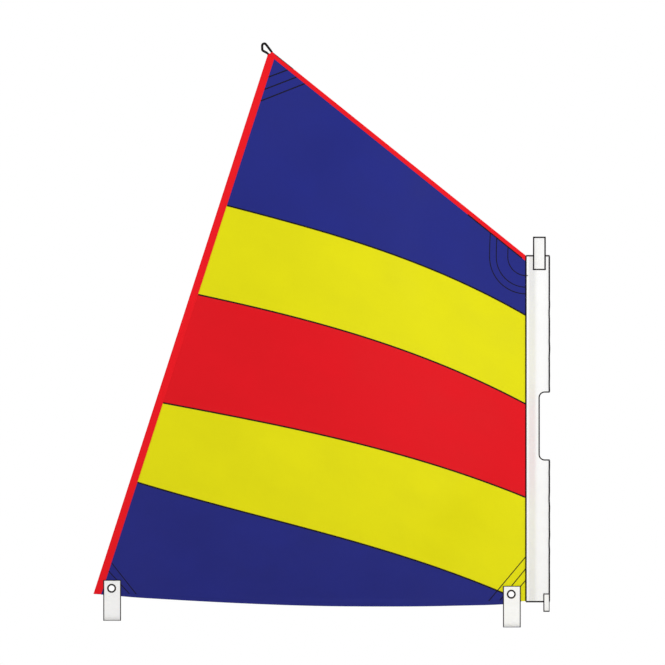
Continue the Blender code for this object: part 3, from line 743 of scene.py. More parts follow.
@dataclass(frozen=True)
class RibbedTape(DyedYarn):
    """Polyester binding tape woven narrow, with ribs across it.

    It gives the eye short cross ribs and a faintly uneven dye. The ribs lie 0.6 mm apart, and are drawn
    twice as coarse so that a close view shows them.
    """

    rib_pitch: float = 0.0012
    rib_depth: float = 0.00010
    cross_rib: float = 0.35

    def build(self) -> Material:
        """Makes the material.

        Returns:
            The material.
        """
        made, tree, shader = new_finish(self.name)
        spot = add_node(tree, "UVMap", uv_map="cloth")
        ends = stretched_noise(tree, spot, (900.0, 40.0))
        cloudy = stretched_noise(tree, spot, (30.0, 9.0), 3.0)
        uneven = add_node(tree, "Math", {0: ends, 1: cloudy}, operation="ADD")
        share = add_node(tree, "MapRange", {"Value": uneven, "From Min": 0.7, "From Max": 1.3})
        across, along = threads(tree, spot, (self.rib_pitch, self.rib_pitch))
        low_ribs = add_node(tree, "Math", {0: across, 1: self.cross_rib}, operation="MULTIPLY")
        ribs = add_node(tree, "Math", {0: along, 1: low_ribs}, operation="ADD")
        self.shade(tree, shader, share, ribs, self.rib_depth)
        return made


@dataclass(frozen=True)
class Webbing:
    """White polyester webbing in a herringbone weave, with a dark tracer thread along each selvedge.

    It gives the eye slanting ribs, a soft thick surface, crisp dark edges and painted shade between the ribs.
    The ribs lie 1 mm apart, and are drawn twice as coarse so that a close view shows them.
    """

    name: str
    colour: str
    tracer: str
    tracer_width: float
    # The grime's colour, also mixed in as painted shade in the valleys between the ribs
    grime_and_rib_shade: str = "8E8C84"
    width: float = 0.0760
    roughness: float = 0.72
    specular: float = 0.1
    rib_pitch: float = 0.0020
    rib_depth: float = 0.00016
    painted_rib_shade: float = 0.025
    grime_share: float = 0.02
    end_height: float = 0.2
    chevron: float = 0.0095
    tracer_blur: float = 0.0003

    def build(self) -> Material:
        """Makes the material.

        Returns:
            The material.
        """
        made, tree, shader = new_finish(self.name)
        spot = add_node(tree, "UVMap", uv_map="cloth")
        parts = add_node(tree, "SeparateXYZ", {0: spot})
        across, along = parts.outputs[:2]
        fold = add_node(tree, "Math", {0: across, 1: self.chevron}, operation="PINGPONG")
        slant = add_node(tree, "Math", {0: along, 1: fold}, operation="ADD")
        turned = add_node(tree, "CombineXYZ", {0: slant, 1: across})
        ribs, ends = threads(tree, turned, (self.rib_pitch, self.rib_pitch / 2))
        # Painted shade: the valleys between the ribs take some of the darker colour
        limits = {"Value": ribs, "From Max": 0.5, "To Min": self.painted_rib_shade, "To Max": 0.0}
        rib_valley_shade = add_node(tree, "MapRange", limits)
        handled = stretched_noise(tree, spot, (45.0, 30.0), 4.0)
        limits = {"Value": handled, "From Min": 0.35, "From Max": 0.75, "To Max": self.grime_share}
        grimy = add_node(tree, "MapRange", limits)
        share = add_node(tree, "Math", {0: rib_valley_shade, 1: grimy}, operation="ADD")
        mix = {0: share, 6: linear_colour(self.colour), 7: linear_colour(self.grime_and_rib_shade)}
        body = add_node(tree, "Mix", mix, data_type="RGBA").outputs[2]
        aside = add_node(tree, "Math", {0: across, 1: self.width / 2}, operation="SUBTRACT")
        aside = add_node(tree, "Math", {0: aside}, operation="ABSOLUTE")
        edge = self.width / 2 - self.tracer_width
        limits = {"Value": aside, "From Min": edge - self.tracer_blur, "From Max": edge + self.tracer_blur}
        traced = add_node(tree, "MapRange", limits)
        mix = {0: traced, 6: body, 7: linear_colour(self.tracer)}
        colour = add_node(tree, "Mix", mix, data_type="RGBA").outputs[2]
        low_ends = add_node(tree, "Math", {0: ends, 1: self.end_height}, operation="MULTIPLY")
        height = add_node(tree, "Math", {0: ribs, 1: low_ends}, operation="ADD")
        bump = add_node(tree, "Bump", {"Height": height, "Distance": self.rib_depth})
        look = {"Base Color": colour, "Roughness": self.roughness, "Specular IOR Level": self.specular}
        fill_inputs(tree, shader, look | {"Normal": bump})
        return made


@dataclass(frozen=True)
class SewingThread(DyedYarn):
    """Bonded polyester thread, twisted from three plies.

    It gives the eye a dense line with a dull shine, and a painted highlight where the plies stand up.
    """

    roughness: float = 0.55
    ply_scale: float = 900.0
    ply_depth: float = 0.0001

    def build(self) -> Material:
        """Makes the material.

        Returns:
            The material.
        """
        made, tree, shader = new_finish(self.name)
        spot = add_node(tree, "TexCoord").outputs["Object"]
        plies = add_node(tree, "TexNoise", {"Vector": spot, "Scale": self.ply_scale, "Detail": 2.0})
        # Painted highlight: the lighter shade goes where the plies stand highest
        share = add_node(tree, "MapRange", {"Value": plies, "From Min": 0.35, "From Max": 0.65})
        self.shade(tree, shader, share, plies, self.ply_depth)
        return made


@dataclass(frozen=True)
class BlackenedBrass:
    """Pressed brass, chemically blackened and handled.

    It gives the eye a dark, half-dull metal that has begun to rub through to warm brass in patches.
    """

    name: str = "blackened_pressed_brass"
    colour: str = "1F1D1C"
    worn: str = "4A3D2C"
    roughness: Pair = (0.34, 0.50)
    grain_scale: float = 420.0
    wear_scale: float = 90.0
    grain_depth: float = 0.00004

    def build(self) -> Material:
        """Makes the material.

        Returns:
            The material.
        """
        made, tree, shader = new_finish(self.name)
        spot = add_node(tree, "TexCoord").outputs["Object"]
        fine = add_node(tree, "TexNoise", {"Vector": spot, "Scale": self.grain_scale, "Detail": 4.0})
        broad = add_node(tree, "TexNoise", {"Vector": spot, "Scale": self.wear_scale, "Detail": 3.0})
        handled = add_node(tree, "Math", {0: fine, 1: broad}, operation="MULTIPLY")
        rubbed = add_node(tree, "MapRange", {"Value": handled, "From Min": 0.27, "From Max": 0.40})
        mix = {0: rubbed, 6: linear_colour(self.colour), 7: linear_colour(self.worn)}
        colour = add_node(tree, "Mix", mix, data_type="RGBA").outputs[2]
        low, high = self.roughness
        limits = {"Value": broad, "From Min": 0.3, "From Max": 0.7, "To Min": low, "To Max": high}
        rough = add_node(tree, "MapRange", limits)
        bump = add_node(tree, "Bump", {"Height": fine, "Distance": self.grain_depth})
        look = {"Base Color": colour, "Roughness": rough, "Metallic": 1.0}
        fill_inputs(tree, shader, look | {"Normal": bump})
        return made


Finish = Sailcloth | RibbedTape | Webbing | SewingThread | BlackenedBrass

BLUE_CLOTH = Sailcloth("blue_woven_sailcloth", "1D247A", "212985")
# Painted shade: a darker copy of the blue cloth for the foot panel and its hem, low on the sail
SHADED_FOOT_CLOTH = Sailcloth("blue_woven_sailcloth_painted_shade", "1F2475", "232981")
YELLOW_CLOTH = Sailcloth("yellow_woven_sailcloth", "DDD802", "E6E106")
RED_CLOTH = Sailcloth("red_woven_sailcloth", "DA0A17", "E20D1C")
SLEEVE_CLOTH = Sailcloth("white_woven_sleeve_cloth", "F4F4F4", "F8F8F7", roughness=0.66, streak=0.3)
RED_TAPE = RibbedTape("red_ribbed_tape", "E60A17", "EE0D1C")
BLACK_TAPE = RibbedTape("black_ribbed_tape", "161314", "221E1F", roughness=0.9, specular=0.0)
DARK_TAPE = RibbedTape("dark_grey_ribbed_tape", "4A4447", "565054", roughness=0.9, specular=0.0)
# Pale grey-blue tape, used only as painted shade on the tack strap's bend
PALE_TAPE = RibbedTape("pale_grey_ribbed_tape", "9C9CAC", "AAAABA", roughness=0.9, specular=0.0)
BLACK_THREAD = SewingThread("black_bonded_thread", "120F10", "262122", specular=0.03)
RED_THREAD = SewingThread("red_bonded_thread", "D0101A", "F02832")
BLUE_THREAD = SewingThread("blue_bonded_thread", "1E2368", "2E3590")
WHITE_THREAD = SewingThread("white_bonded_thread", "F1F1EF", "FBFBFA")
ROPE_YARN = SewingThread("black_braided_polyester", "171414", "2C2828", roughness=0.8, specular=0.03)
BRASS = BlackenedBrass()


@dataclass
class Wardrobe:
    """Keeps each finish's material, so that all its pieces share it."""

    made: dict[str, Material]

    def get(self, finish: Finish) -> Material:
        """Gives the material of a finish, made at its first use.

        Args:
            finish: The finish.

        Returns:
            Its material.
        """
        if finish.name not in self.made:
            self.made[finish.name] = finish.build()
        return self.made[finish.name]


WARDROBE = Wardrobe({})


def add_piece(name: str, vertices: Array, faces: list, finish: Finish, uv: Array | None = None) -> Piece:
    """Adds a mesh object.

    Args:
        name: The piece's name.
        vertices: Its points, one a row.
        faces: The point numbers of each face.
        finish: The finish that it wears.
        uv: The cloth's own coordinates at each point, in metres.

    Returns:
        The new object.
    """
    mesh = bpy.data.meshes.new(name)
    mesh.from_pydata(vertices.reshape(-1, 3).tolist(), [], faces)
    if uv is not None:
        corners = np.empty(len(mesh.loops), dtype=np.int32)
        mesh.loops.foreach_get("vertex_index", corners)
        layer = mesh.uv_layers.new(name="cloth")
        layer.data.foreach_set("uv", uv.reshape(-1, 2)[corners].astype(np.float32).ravel())
    mesh.materials.append(WARDROBE.get(finish))
    piece = bpy.data.objects.new(name, mesh)
    bpy.context.scene.collection.objects.link(piece)
    return piece


def grid_faces(columns: int, rows: int, closed: bool = False) -> list:
    """Lists the faces of a grid of points.

    Args:
        columns: How many columns of points it has.
        rows: How many points each column has.
        closed: Whether the last row joins the first.

    Returns:
        The point numbers of each face.
    """
    i, k = np.meshgrid(np.arange(columns - 1), np.arange(rows if closed else rows - 1), indexing="ij")
    above = (k + 1) % rows
    faces = np.stack([i * rows + k, (i + 1) * rows + k, (i + 1) * rows + above, i * rows + above], axis=-1)
    return faces.reshape(-1, 4).tolist()


def grid_uv(points: Array) -> Array:
    """Measures a grid of points along its columns and rows.

    Args:
        points: The grid.

    Returns:
        The cloth's own coordinates at each point, in metres.
    """
    across = np.linalg.norm(np.diff(points, axis=0), axis=2).mean(axis=1)
    along = np.linalg.norm(np.diff(points, axis=1), axis=2)
    u = np.concatenate([[0.0], np.cumsum(across)])
    v = np.concatenate([np.zeros((len(points), 1)), np.cumsum(along, axis=1)], axis=1)
    return points_at(u[:, None], v)


def add_cloth(name: str, points: Array, finish: Finish) -> Piece:
    """Adds an open cloth from its grid of points."""
    return add_piece(name, points, grid_faces(*points.shape[:2]), finish, grid_uv(points))


def tube_faces(rings: int, steps: int) -> list:
    """Lists the faces of a tube with closed ends, from how many rings it has and how many points each."""
    ends = [tuple(range(steps)), tuple(range(rings * steps - 1, (rings - 1) * steps - 1, -1))]
    return grid_faces(rings, steps, closed=True) + ends


def join_meshes(parts: list[tuple[Array, list]]) -> tuple[Array, list]:
    """Joins meshes into one.

    Args:
        parts: The points and the faces of each.

    Returns:
        The points and the faces of them all.
    """
    faces, first = [], 0
    for points, part in parts:
        faces += [tuple(first + corner for corner in face) for face in part]
        first += len(points)
    return np.vstack([points for points, _ in parts]), faces


# Edges sharper than these stay sharp, in degrees, and points nearer than these are one, in metres
SMOOTH_ANGLE = 40.0
BINDING_ANGLE = 60.0
WELD_DISTANCE = 0.000005
TRIM_DISTANCE = 0.000001


def select_only(piece: Piece) -> None:
    """Makes a piece the active object and the only one selected.

    Args:
        piece: The piece.
    """
    bpy.ops.object.select_all(action="DESELECT")
    bpy.context.view_layer.objects.active = piece
    piece.select_set(True)


def apply_modifier(piece: Piece, kind: str, **settings: object) -> None:
    """Puts a modifier on a piece and applies it.

    Args:
        piece: The piece.
        kind: The modifier's type.
        **settings: The modifier's own settings.
    """
    select_only(piece)
    modifier = piece.modifiers.new("finish", kind)
    for name, setting in settings.items():
        setattr(modifier, name, setting)
    bpy.ops.object.modifier_apply(modifier=modifier.name)


def shade_smooth(piece: Piece, angle: float = SMOOTH_ANGLE) -> None:
    """Shades a piece smooth, except along edges sharper than an angle in degrees."""
    select_only(piece)
    bpy.ops.object.shade_smooth_by_angle(angle=math.radians(angle))


def trim(piece: Piece, point: Array, outward: Array) -> None:
    """Cuts away what lies past a line of the plan.

    Args:
        piece: The open cloth that is cut.
        point: A point of the line, as (x, z).
        outward: The way out, square to the line.
    """
    shape = bmesh.new()
    shape.from_mesh(piece.data)
    bmesh.ops.bisect_plane(
        shape,
        geom=shape.verts[:] + shape.edges[:] + shape.faces[:],
        dist=TRIM_DISTANCE,
        plane_co=(point[0], 0.0, point[1]),
        plane_no=(outward[0], 0.0, outward[1]),
        clear_outer=True,
    )
    shape.to_mesh(piece.data)
    shape.free()


def thicken(piece: Piece, thickness: float) -> None:
    """Gives an open cloth its thickness, half to each side, and round shading."""
    apply_modifier(piece, "SOLIDIFY", thickness=thickness, offset=0.0, use_even_offset=True)
    shade_smooth(piece)


def cut_out(cutter: Piece, *pieces: Piece) -> None:
    """Cuts a shape out of pieces that have their thickness, and removes the shape.

    Args:
        cutter: The shape.
        *pieces: The pieces.
    """
    for piece in pieces:
        apply_modifier(piece, "BOOLEAN", operation="DIFFERENCE", solver="EXACT", object=cutter)
        shade_smooth(piece)
    bpy.data.objects.remove(cutter, do_unlink=True)


def close_up(piece: Piece, angle: float = SMOOTH_ANGLE) -> None:
    """Joins a mesh's doubled points, turns its faces outwards and shades it smooth.

    Args:
        piece: The piece.
        angle: The least angle at which an edge stays sharp, in degrees.
    """
    shape = bmesh.new()
    shape.from_mesh(piece.data)
    bmesh.ops.remove_doubles(shape, verts=shape.verts[:], dist=WELD_DISTANCE)
    bmesh.ops.recalc_face_normals(shape, faces=shape.faces[:])
    shape.to_mesh(piece.data)
    shape.free()
    shade_smooth(piece, angle)


def sheet_area(piece: Piece) -> float:
    """Adds up the area of an open cloth."""
    return sum(face.area for face in piece.data.polygons)


def flat_size(uv: Array) -> Pair:
    """Gives how far a cloth's own coordinates reach along u and along v."""
    size = np.ptp(uv.reshape(-1, 2), axis=0)
    return float(size[0]), float(size[1])


def dress(piece: Piece, body: Body, slot: Slot, *nodes: str) -> None:
    """Puts a piece on its body and hides the nodes that it stands for.

    Args:
        piece: The piece.
        body: The body that it rides on.
        slot: Not used.
        *nodes: The nodes that it stands for.
    """
    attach(piece, body.value)
    if nodes:
        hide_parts(*nodes)
    LOG.info("%s: %d faces on %s", piece.name, len(piece.data.polygons), body.value)


# How far along a stitch its shoulders stand, from its ends to its crest, and how high and wide they are
SHOULDER = 0.2
SHOULDER_ARCH = 0.9


def sew_thread(name: str, stitches: Row, size: Pair, finish: Finish, slot: Slot) -> Piece:
    """Args:
        name: The piece's name.
        stitches: The row of stitches.
        size: How wide the thread lies, and how far it stands off the cloth.
        finish: The thread's finish.
        slot: The material slot that it wears.

    Returns:
        The new piece.
    """
    start, crest, stop, out = stitches
    side = unit(np.cross(out, stop - start)) * size[0] / 2
    up = out * size[1] / 2
    rings = []
    first_shoulder = start * (1 - SHOULDER) + crest * SHOULDER
    last_shoulder = crest * SHOULDER + stop * (1 - SHOULDER)
    for spot, arch in ((first_shoulder, SHOULDER_ARCH), (crest, 1.0), (last_shoulder, SHOULDER_ARCH)):
        middle = spot + up * arch
        rings += [middle + side * arch, middle + up * arch, middle - side * arch, middle - up * arch]
    points = np.stack([start] + rings + [stop], axis=1)
    around = [(k, (k + 1) % 4) for k in range(4)]
    shape = [(0, 1 + b, 1 + a) for a, b in around]
    shape += [(1 + r + a, 1 + r + b, 5 + r + b, 5 + r + a) for r in (0, 4) for a, b in around]
    shape += [(13, 9 + a, 9 + b) for a, b in around]
    firsts = (np.arange(len(points)) * points.shape[1]).tolist()
    faces = [tuple(first + corner for corner in face) for first in firsts for face in shape]
    piece = add_piece(name, points, faces, finish)
    dress(piece, Body.SAIL, slot)
    return piece


def zigzag(low: Array, high: Array, out: Array, middle: Array | None = None) -> Row:
    """Lays a zigzag between two lines of needle holes.

    Args:
        low: The holes on one side, evenly spaced.
        high: The holes on the other side, across from them.
        out: Which way is off the cloth at each hole.
        middle: The line that the stitches pass over half-way, where the cloth isn't level.

    Returns:
        The row of stitches.
    """
    even = (np.arange(len(low) - 1) % 2 == 0)[:, None]
    start = np.where(even, low[:-1], high[:-1])
    stop = np.where(even, high[1:], low[1:])
    crest = (start + stop) / 2 if middle is None else (middle[:-1] + middle[1:]) / 2
    return start, crest, stop, out[:-1]


def sail_zigzag(line: Array, width: float, pitch: float, lifts: Pair, side: Side) -> Row:
    """Lays a zigzag along a line of the sail.

    Args:
        line: The line's points, as (x, z).
        width: How wide the zigzag is.
        pitch: How far apart its holes are along each side.
        lifts: The cloth's height, towards that side, left and right of the line as it runs.
        side: The side of the sail that it lies on.

    Returns:
        The row of stitches.
    """
    holes = resample(line, pitch)
    ahead = unit(np.gradient(holes, axis=0))
    left = points_at(-ahead[:, 1], ahead[:, 0]) * width / 2
    out = everywhere((0.0, side.value, 0.0), holes)
    low = SAIL.at(holes + left, lifts[0] * side.value)
    high = SAIL.at(holes - left, lifts[1] * side.value)
    middle = SAIL.at(holes, max(lifts) * side.value)
    return clear_of_eyelets(zigzag(low, high, out, middle))


def clear_of_eyelets(row: Row) -> Row:
    """Leaves out the stitches that would lie in an eyelet or under its flange.

    Args:
        row: The row of stitches.

    Returns:
        The stitches that are left.
    """
    keep = np.ones(len(row[0]), dtype=bool)
    for punch in (CLEW_EYELET, TACK_EYELET):
        away = np.hypot(row[1][:, 0] - punch.centre[0], row[1][:, 2] - punch.centre[1])
        keep &= away > punch.flange_radius
    return tuple(part[keep] for part in row)


def join_rows(rows: list[Row]) -> Row:
    """Joins several rows of stitches into one."""
    return tuple(np.concatenate(parts) for parts in zip(*rows))


# How many points go round a folded binding, and how square its section is: 1 is round, 0 is square
BINDING_STEPS = 10
BINDING_ROUNDNESS = 0.7


def bind_edge(
    name: str,
    path: Array,
    across: Array,
    out: Array,
    size: Pair,
    finish: Finish,
    body: Body = Body.SAIL,
    closed: bool = False,
) -> Piece:
    """Args:
        name: The piece's name.
        path: The middle of the tape, one point a row.
        across: Which way its width runs at each point.
        out: Which way is off the cloth at each point.
        size: Its width and its thickness over both folds.
        finish: Its finish.
        body: The body that it rides on.
        closed: Whether its end joins its start.

    Returns:
        The new piece.
    """
    steps = BINDING_STEPS
    turn = np.linspace(0.0, 2 * math.pi, steps, endpoint=False)
    wide = np.sign(np.cos(turn)) * np.abs(np.cos(turn)) ** BINDING_ROUNDNESS * size[0] / 2
    thick = np.sign(np.sin(turn)) * np.abs(np.sin(turn)) ** BINDING_ROUNDNESS * size[1] / 2
    if closed:
        path, across, out = (np.vstack([a, a[:1]]) for a in (path, across, out))
    points = path[:, None] + across[:, None] * wide[:, None] + out[:, None] * thick[:, None]
    uv = points_at(np.linspace(0.0, 2 * sum(size), steps), run_lengths(path)[:, None])
    faces = grid_faces(len(path), steps, closed=True) if closed else tube_faces(len(path), steps)
    piece = add_piece(name, points, faces, finish, uv)
    close_up(piece, BINDING_ANGLE)
    dress(piece, body, Slot.BLACK)
    return piece


def offset_grid(points: Array, distance: float) -> Array:
    """Moves a grid of points off its own surface, to the side that its faces look to."""
    across, along = np.gradient(points, axis=(0, 1))
    return points + unit(np.cross(across, along)) * distance


@dataclass
class Punch:
    """A round punch along the eyelet's axis, which makes the eyelet's hole in all the layers."""

    centre: Array
    radius: float = 0.0143
    flange_radius: float = 0.0215
    depth: float = 0.2
    steps: int = 48

    def cut(self, *pieces: Piece) -> None:
        """Cuts the hole in pieces that have their thickness.

        Args:
            *pieces: The pieces.
        """
        size = {"vertices": self.steps, "radius": self.radius, "depth": self.depth}
        place, turn = (self.centre[0], 0.0, self.centre[1]), (math.pi / 2, 0.0, 0.0)
        bpy.ops.mesh.primitive_cylinder_add(**size, location=place, rotation=turn)
        cut_out(bpy.context.object, *pieces)


CLEW_EYELET = Punch(CLEW + np.array((0.0802, 0.0257)))
TACK_EYELET = Punch(TACK + np.array((-0.0662, 0.0306)))


@dataclass
class Studio:
    """The camera square to the sail, the pale floor, the soft key light and the white surround."""

    centre: Pair = (-0.92475, 1.20825)
    frame_width: float = 2.9925
    camera_away: float = 6.0
    floor_height: float = -0.1250
    floor_size: float = 14.0
    floor_colour: str = "F0F0EF"
    floor_light: str = "F4F4F3"
    floor_clouds: float = 1.5
    ambient: float = 0.63
    key_power: float = 203.0
    key_size: float = 3.4
    key_place: tuple[float, float, float] = (1.2, -6.7, 2.9)

    def build(self) -> None:
        """Sets up the camera, the floor and the lights."""
        camera = bpy.data.cameras.new("photo_camera")
        camera.type = "ORTHO"
        camera.ortho_scale = self.frame_width
        held = bpy.data.objects.new("photo_camera", camera)
        held.location = (self.centre[0], -self.camera_away, self.centre[1])
        held.rotation_euler = (math.pi / 2, 0.0, 0.0)
        bpy.context.scene.collection.objects.link(held)
        bpy.context.scene.camera = held
        bpy.context.scene.view_settings.view_transform = "Standard"
        self.build_floor()
        self.build_key()
        self.build_world()

    def build_floor(self) -> None:
        """Lays the pale floor, which takes the sail's shadow."""
        place = (self.centre[0], 0.0, self.floor_height)
        bpy.ops.mesh.primitive_plane_add(size=self.floor_size, location=place)
        floor = bpy.context.object
        floor.name = "studio_floor"
        bpy.ops.object.transform_apply(location=True, rotation=True, scale=True)
        made, tree, shader = new_finish("pale_painted_floor")
        spot = add_node(tree, "TexCoord").outputs["Object"]
        share = add_node(tree, "TexNoise", {"Vector": spot, "Scale": self.floor_clouds})
        mix = {0: share, 6: linear_colour(self.floor_colour), 7: linear_colour(self.floor_light)}
        colour = add_node(tree, "Mix", mix, data_type="RGBA").outputs[2]
        fill_inputs(tree, shader, {"Base Color": colour, "Roughness": 0.85, "Specular IOR Level": 0.1})
        floor.data.materials.append(made)

    def build_key(self) -> None:
        """Hangs the large soft box behind the camera, up to its right."""
        lamp = bpy.data.lights.new("soft_box", "AREA")
        lamp.energy = self.key_power
        lamp.size = self.key_size
        key = bpy.data.objects.new("soft_box", lamp)
        key.location = self.key_place
        back = Vector(self.key_place) - Vector((self.centre[0], 0.0, self.centre[1]))
        key.rotation_euler = back.to_track_quat("Z", "Y").to_euler()
        bpy.context.scene.collection.objects.link(key)

    def build_world(self) -> None:
        """Makes the surround white to the eye and in gloss, and a plain soft light to all else."""
        world = bpy.data.worlds.new("white_surround")
        bpy.context.scene.world = world
        world.use_nodes = True
        tree = world.node_tree
        tree.nodes.clear()
        path = add_node(tree, "LightPath")
        seen = path.outputs["Is Camera Ray"]
        for kind in ("Is Glossy Ray", "Is Transmission Ray"):
            seen = add_node(tree, "Math", {0: seen, 1: path.outputs[kind]}, operation="MAXIMUM")
        strength = add_node(tree, "MapRange", {"Value": seen, "To Min": self.ambient})
        back = add_node(tree, "Background", {"Color": (1, 1, 1, 1), "Strength": strength})
        add_node(tree, "OutputWorld", {"Surface": back})


@dataclass
class PeakRope:
    """The short stiff rope loop that takes the sprit, braided from 16 strands over a core."""

    diameter: float = 0.0112
    route: tuple[Pair, ...] = (
        *((0.0076, 0.0048), (0.0062, 0.0150), (0.0042, 0.0300), (0.0026, 0.0410), (0.0006, 0.0484)),
        *((-0.0050, 0.0516), (-0.0112, 0.0510), (-0.0160, 0.0462), (-0.0204, 0.0375), (-0.0236, 0.0312)),
        *((-0.0236, 0.0262), (-0.0200, 0.0200), (-0.0150, 0.0120), (-0.0104, 0.0048)),
    )
    strands: int = 8
    turn_length: float = 0.026
    strand_width: float = 0.0030
    strand_thickness: float = 0.0011
    over_under: float = 0.0003
    tail_top: float = 0.0048
    tail_end: float = -0.0030
    tail_girth: float = 0.92
    tail_flat: float = 0.26
    tail_rings: int = 10
    route_steps: int = 12
    line_spacing: float = 0.0006
    path_spacing: float = 0.0036
    strand_steps: int = 6
    root_share: float = 0.35

    def place(self, u: Array | float, w: Array) -> Array:
        """Gives the points at distances along the peak's cut end and out from it."""
        flat = CUT_MIDDLE + CUT_ALONG * np.reshape(u, (-1, 1)) + CUT_OUTWARD * w[:, None]
        return points_at(flat[:, 0], 0.0, flat[:, 1])

    def centreline(self) -> Array:
        """Gives the points of the rope's middle."""
        smooth = smooth_route(self.place(*np.array(self.route).T), self.route_steps)
        return resample(smooth, self.line_spacing)

    def tube(
        self, middle: Array, ahead: Array, radii: tuple[Array | float, Array | float], spin: Array
    ) -> tuple[Array, list]:
        """Makes a strand, the core or a tail.

        Args:
            middle: The strand's own middle, one point a row.
            ahead: Which way the rope runs at each point.
            radii: Half its width, and half its thickness off the rope's middle, at each point or in all.
            spin: Which way is off the rope's middle at each point.

        Returns:
            Its points and faces.
        """
        turn = np.linspace(0.0, 2 * math.pi, self.strand_steps, endpoint=False)[None, :, None]
        side = unit(np.cross(spin, ahead))
        ring = side[:, None] * np.cos(turn) * radii[0] + spin[:, None] * np.sin(turn) * radii[1]
        return (middle[:, None] + ring).reshape(-1, 3), tube_faces(len(middle), self.strand_steps)

    def build(self) -> None:
        line = self.centreline()
        along = run_lengths(line)
        ahead = unit(np.gradient(line, axis=0))
        depth = everywhere((0.0, 1.0, 0.0), line)
        plane = unit(np.cross(ahead, depth))
        narrow = np.clip(np.minimum(along, along[-1] - along) / (self.diameter / 2), 0.0, 1.0)
        end_share = np.sqrt(1 - (1 - narrow) ** 2)[:, None]
        seat = self.diameter / 2 - self.strand_thickness / 2 - self.over_under
        parts = [self.tube(line, ahead, (seat, seat), depth)]
        half = (self.strand_width / 2, self.strand_thickness / 2)
        rooted = seat * (self.root_share + (1 - self.root_share) * end_share)
        waves = np.cos(2 * self.strands * 2 * math.pi * along / self.turn_length)[:, None]
        for hand in (-1.0, 1.0):
            for number in range(self.strands):
                turn = hand * 2 * math.pi * along / self.turn_length + 2 * math.pi * number / self.strands
                spin = depth * np.cos(turn)[:, None] + plane * np.sin(turn)[:, None]
                middle = line + spin * (rooted + hand * self.over_under * waves)
                parts.append(self.tube(middle, unit(np.gradient(middle, axis=0)), half, spin))
        rope = add_piece("peak_rope", *join_meshes(parts), ROPE_YARN)
        close_up(rope)
        dress(rope, Body.PEAK_LOOP, Slot.BLACK, "peak_loop")
        self.build_tails()

    def build_tails(self) -> None:
        """Sews the rope's two flattened tails into the open end of the head tape."""
        parts = []
        steps = np.linspace(0.0, 1.0, self.tail_rings)
        depth = everywhere((0.0, 1.0, 0.0), steps)
        half = self.diameter * self.tail_girth / 2
        flatness = (self.tail_flat + (1 - self.tail_flat) * (1 - smooth_step(steps)))[:, None, None]
        height = self.tail_top + (self.tail_end - self.tail_top) * steps
        for u, _ in (self.route[0], self.route[-1]):
            middle = self.place(u, height)
            ahead = -unit(np.gradient(middle, axis=0))
            parts.append(self.tube(middle, ahead, (half, half * flatness), depth))
        tails = add_piece("peak_rope_tails", *join_meshes(parts), ROPE_YARN)
        close_up(tails)
        dress(tails, Body.SAIL, Slot.BLACK)


@dataclass(frozen=True)
class Band:
    """One band of cloth: its borders, how far above each the cloth ends, its side and its look."""

    name: str
    low: BandEdge
    low_end: float
    high: BandEdge
    high_end: float
    side: Side
    finish: Sailcloth
    slot: Slot
    fore: float = SLEEVE.flange_fore

    def plan(self) -> Array:
        """Lays out the band.

        Returns:
            Its grid of points as (x, z).
        """
        low_x, high_x = self.low.start(LAYERS.under_tape), self.high.start(LAYERS.under_tape)
        columns = round((self.fore - min(low_x, high_x)) / CLOTH_CELL)
        share = np.linspace(0.0, 1.0, columns)
        bottom = self.low.beside(low_x + (self.fore - low_x) * share, self.low_end)
        top = self.high.beside(high_x + (self.fore - high_x) * share, self.high_end)
        bottom[:, 1] = np.maximum(bottom[:, 1], FOOT.height(bottom[:, 0]))
        rows = round(float(np.max(top[:, 1] - bottom[:, 1])) / CLOTH_CELL)
        up = np.linspace(0.0, 1.0, rows)[None, :, None]
        return bottom[:, None] * (1 - up) + top[:, None] * up


@dataclass
class Bands:
    """The five bands of sailcloth, the blue and red ones lapping over the yellow ones in front."""

    def bands(self) -> tuple[Band, ...]:
        """Lists the bands from the head down.

        Returns:
            The five bands.
        """
        blue = (Side.FRONT, BLUE_CLOTH, Slot.BLUE)
        yellow = (Side.BACK, YELLOW_CLOTH, Slot.YELLOW)
        return (
            Band("head_panel", HEAD_SEAM, 0.0, HEAD, -LAYERS.under_tape, *blue),
            Band("upper_panel", UPPER_SEAM, -LAP, HEAD_SEAM, LAP, *yellow),
            Band("middle_panel", LOWER_SEAM, 0.0, UPPER_SEAM, 0.0, Side.FRONT, RED_CLOTH, Slot.RED),
            Band("lower_panel", FOOT_SEAM, -LAP, LOWER_SEAM, LAP, *yellow),
            Band("foot_panel", FOOT, 0.0, FOOT_SEAM, 0.0, Side.FRONT, SHADED_FOOT_CLOTH, Slot.BLUE, foot_tip()),
        )

    def build(self) -> None:
        """Sews the bands and their seams, and turns up the foot's hem."""
        made, facts = {}, {}
        for band in self.bands():
            points = SAIL.at(band.plan(), LAYERS.panel * band.side.value)
            piece = add_cloth(band.name + "_cloth", points, band.finish)
            if band.name == "head_panel":
                trim(piece, CUT_MIDDLE - CUT_OUTWARD * LAYERS.gap, CUT_OUTWARD)
            facts[band.name] = (flat_size(grid_uv(points))[::-1], sheet_area(piece))
            thicken(piece, LAYERS.cloth)
            made[band.name] = piece
            dress(piece, Body.SAIL, band.slot, band.name)
        CLEW_EYELET.cut(made["foot_panel"])
        TACK_EYELET.cut(made["foot_panel"], made["lower_panel"])
        threads_on = SeamStitches().build()
        threads_on["foot_panel"] += FootHem().build()
        for name, piece in made.items():
            (flat, area), sewn = facts[name], threads_on.get(name, [])


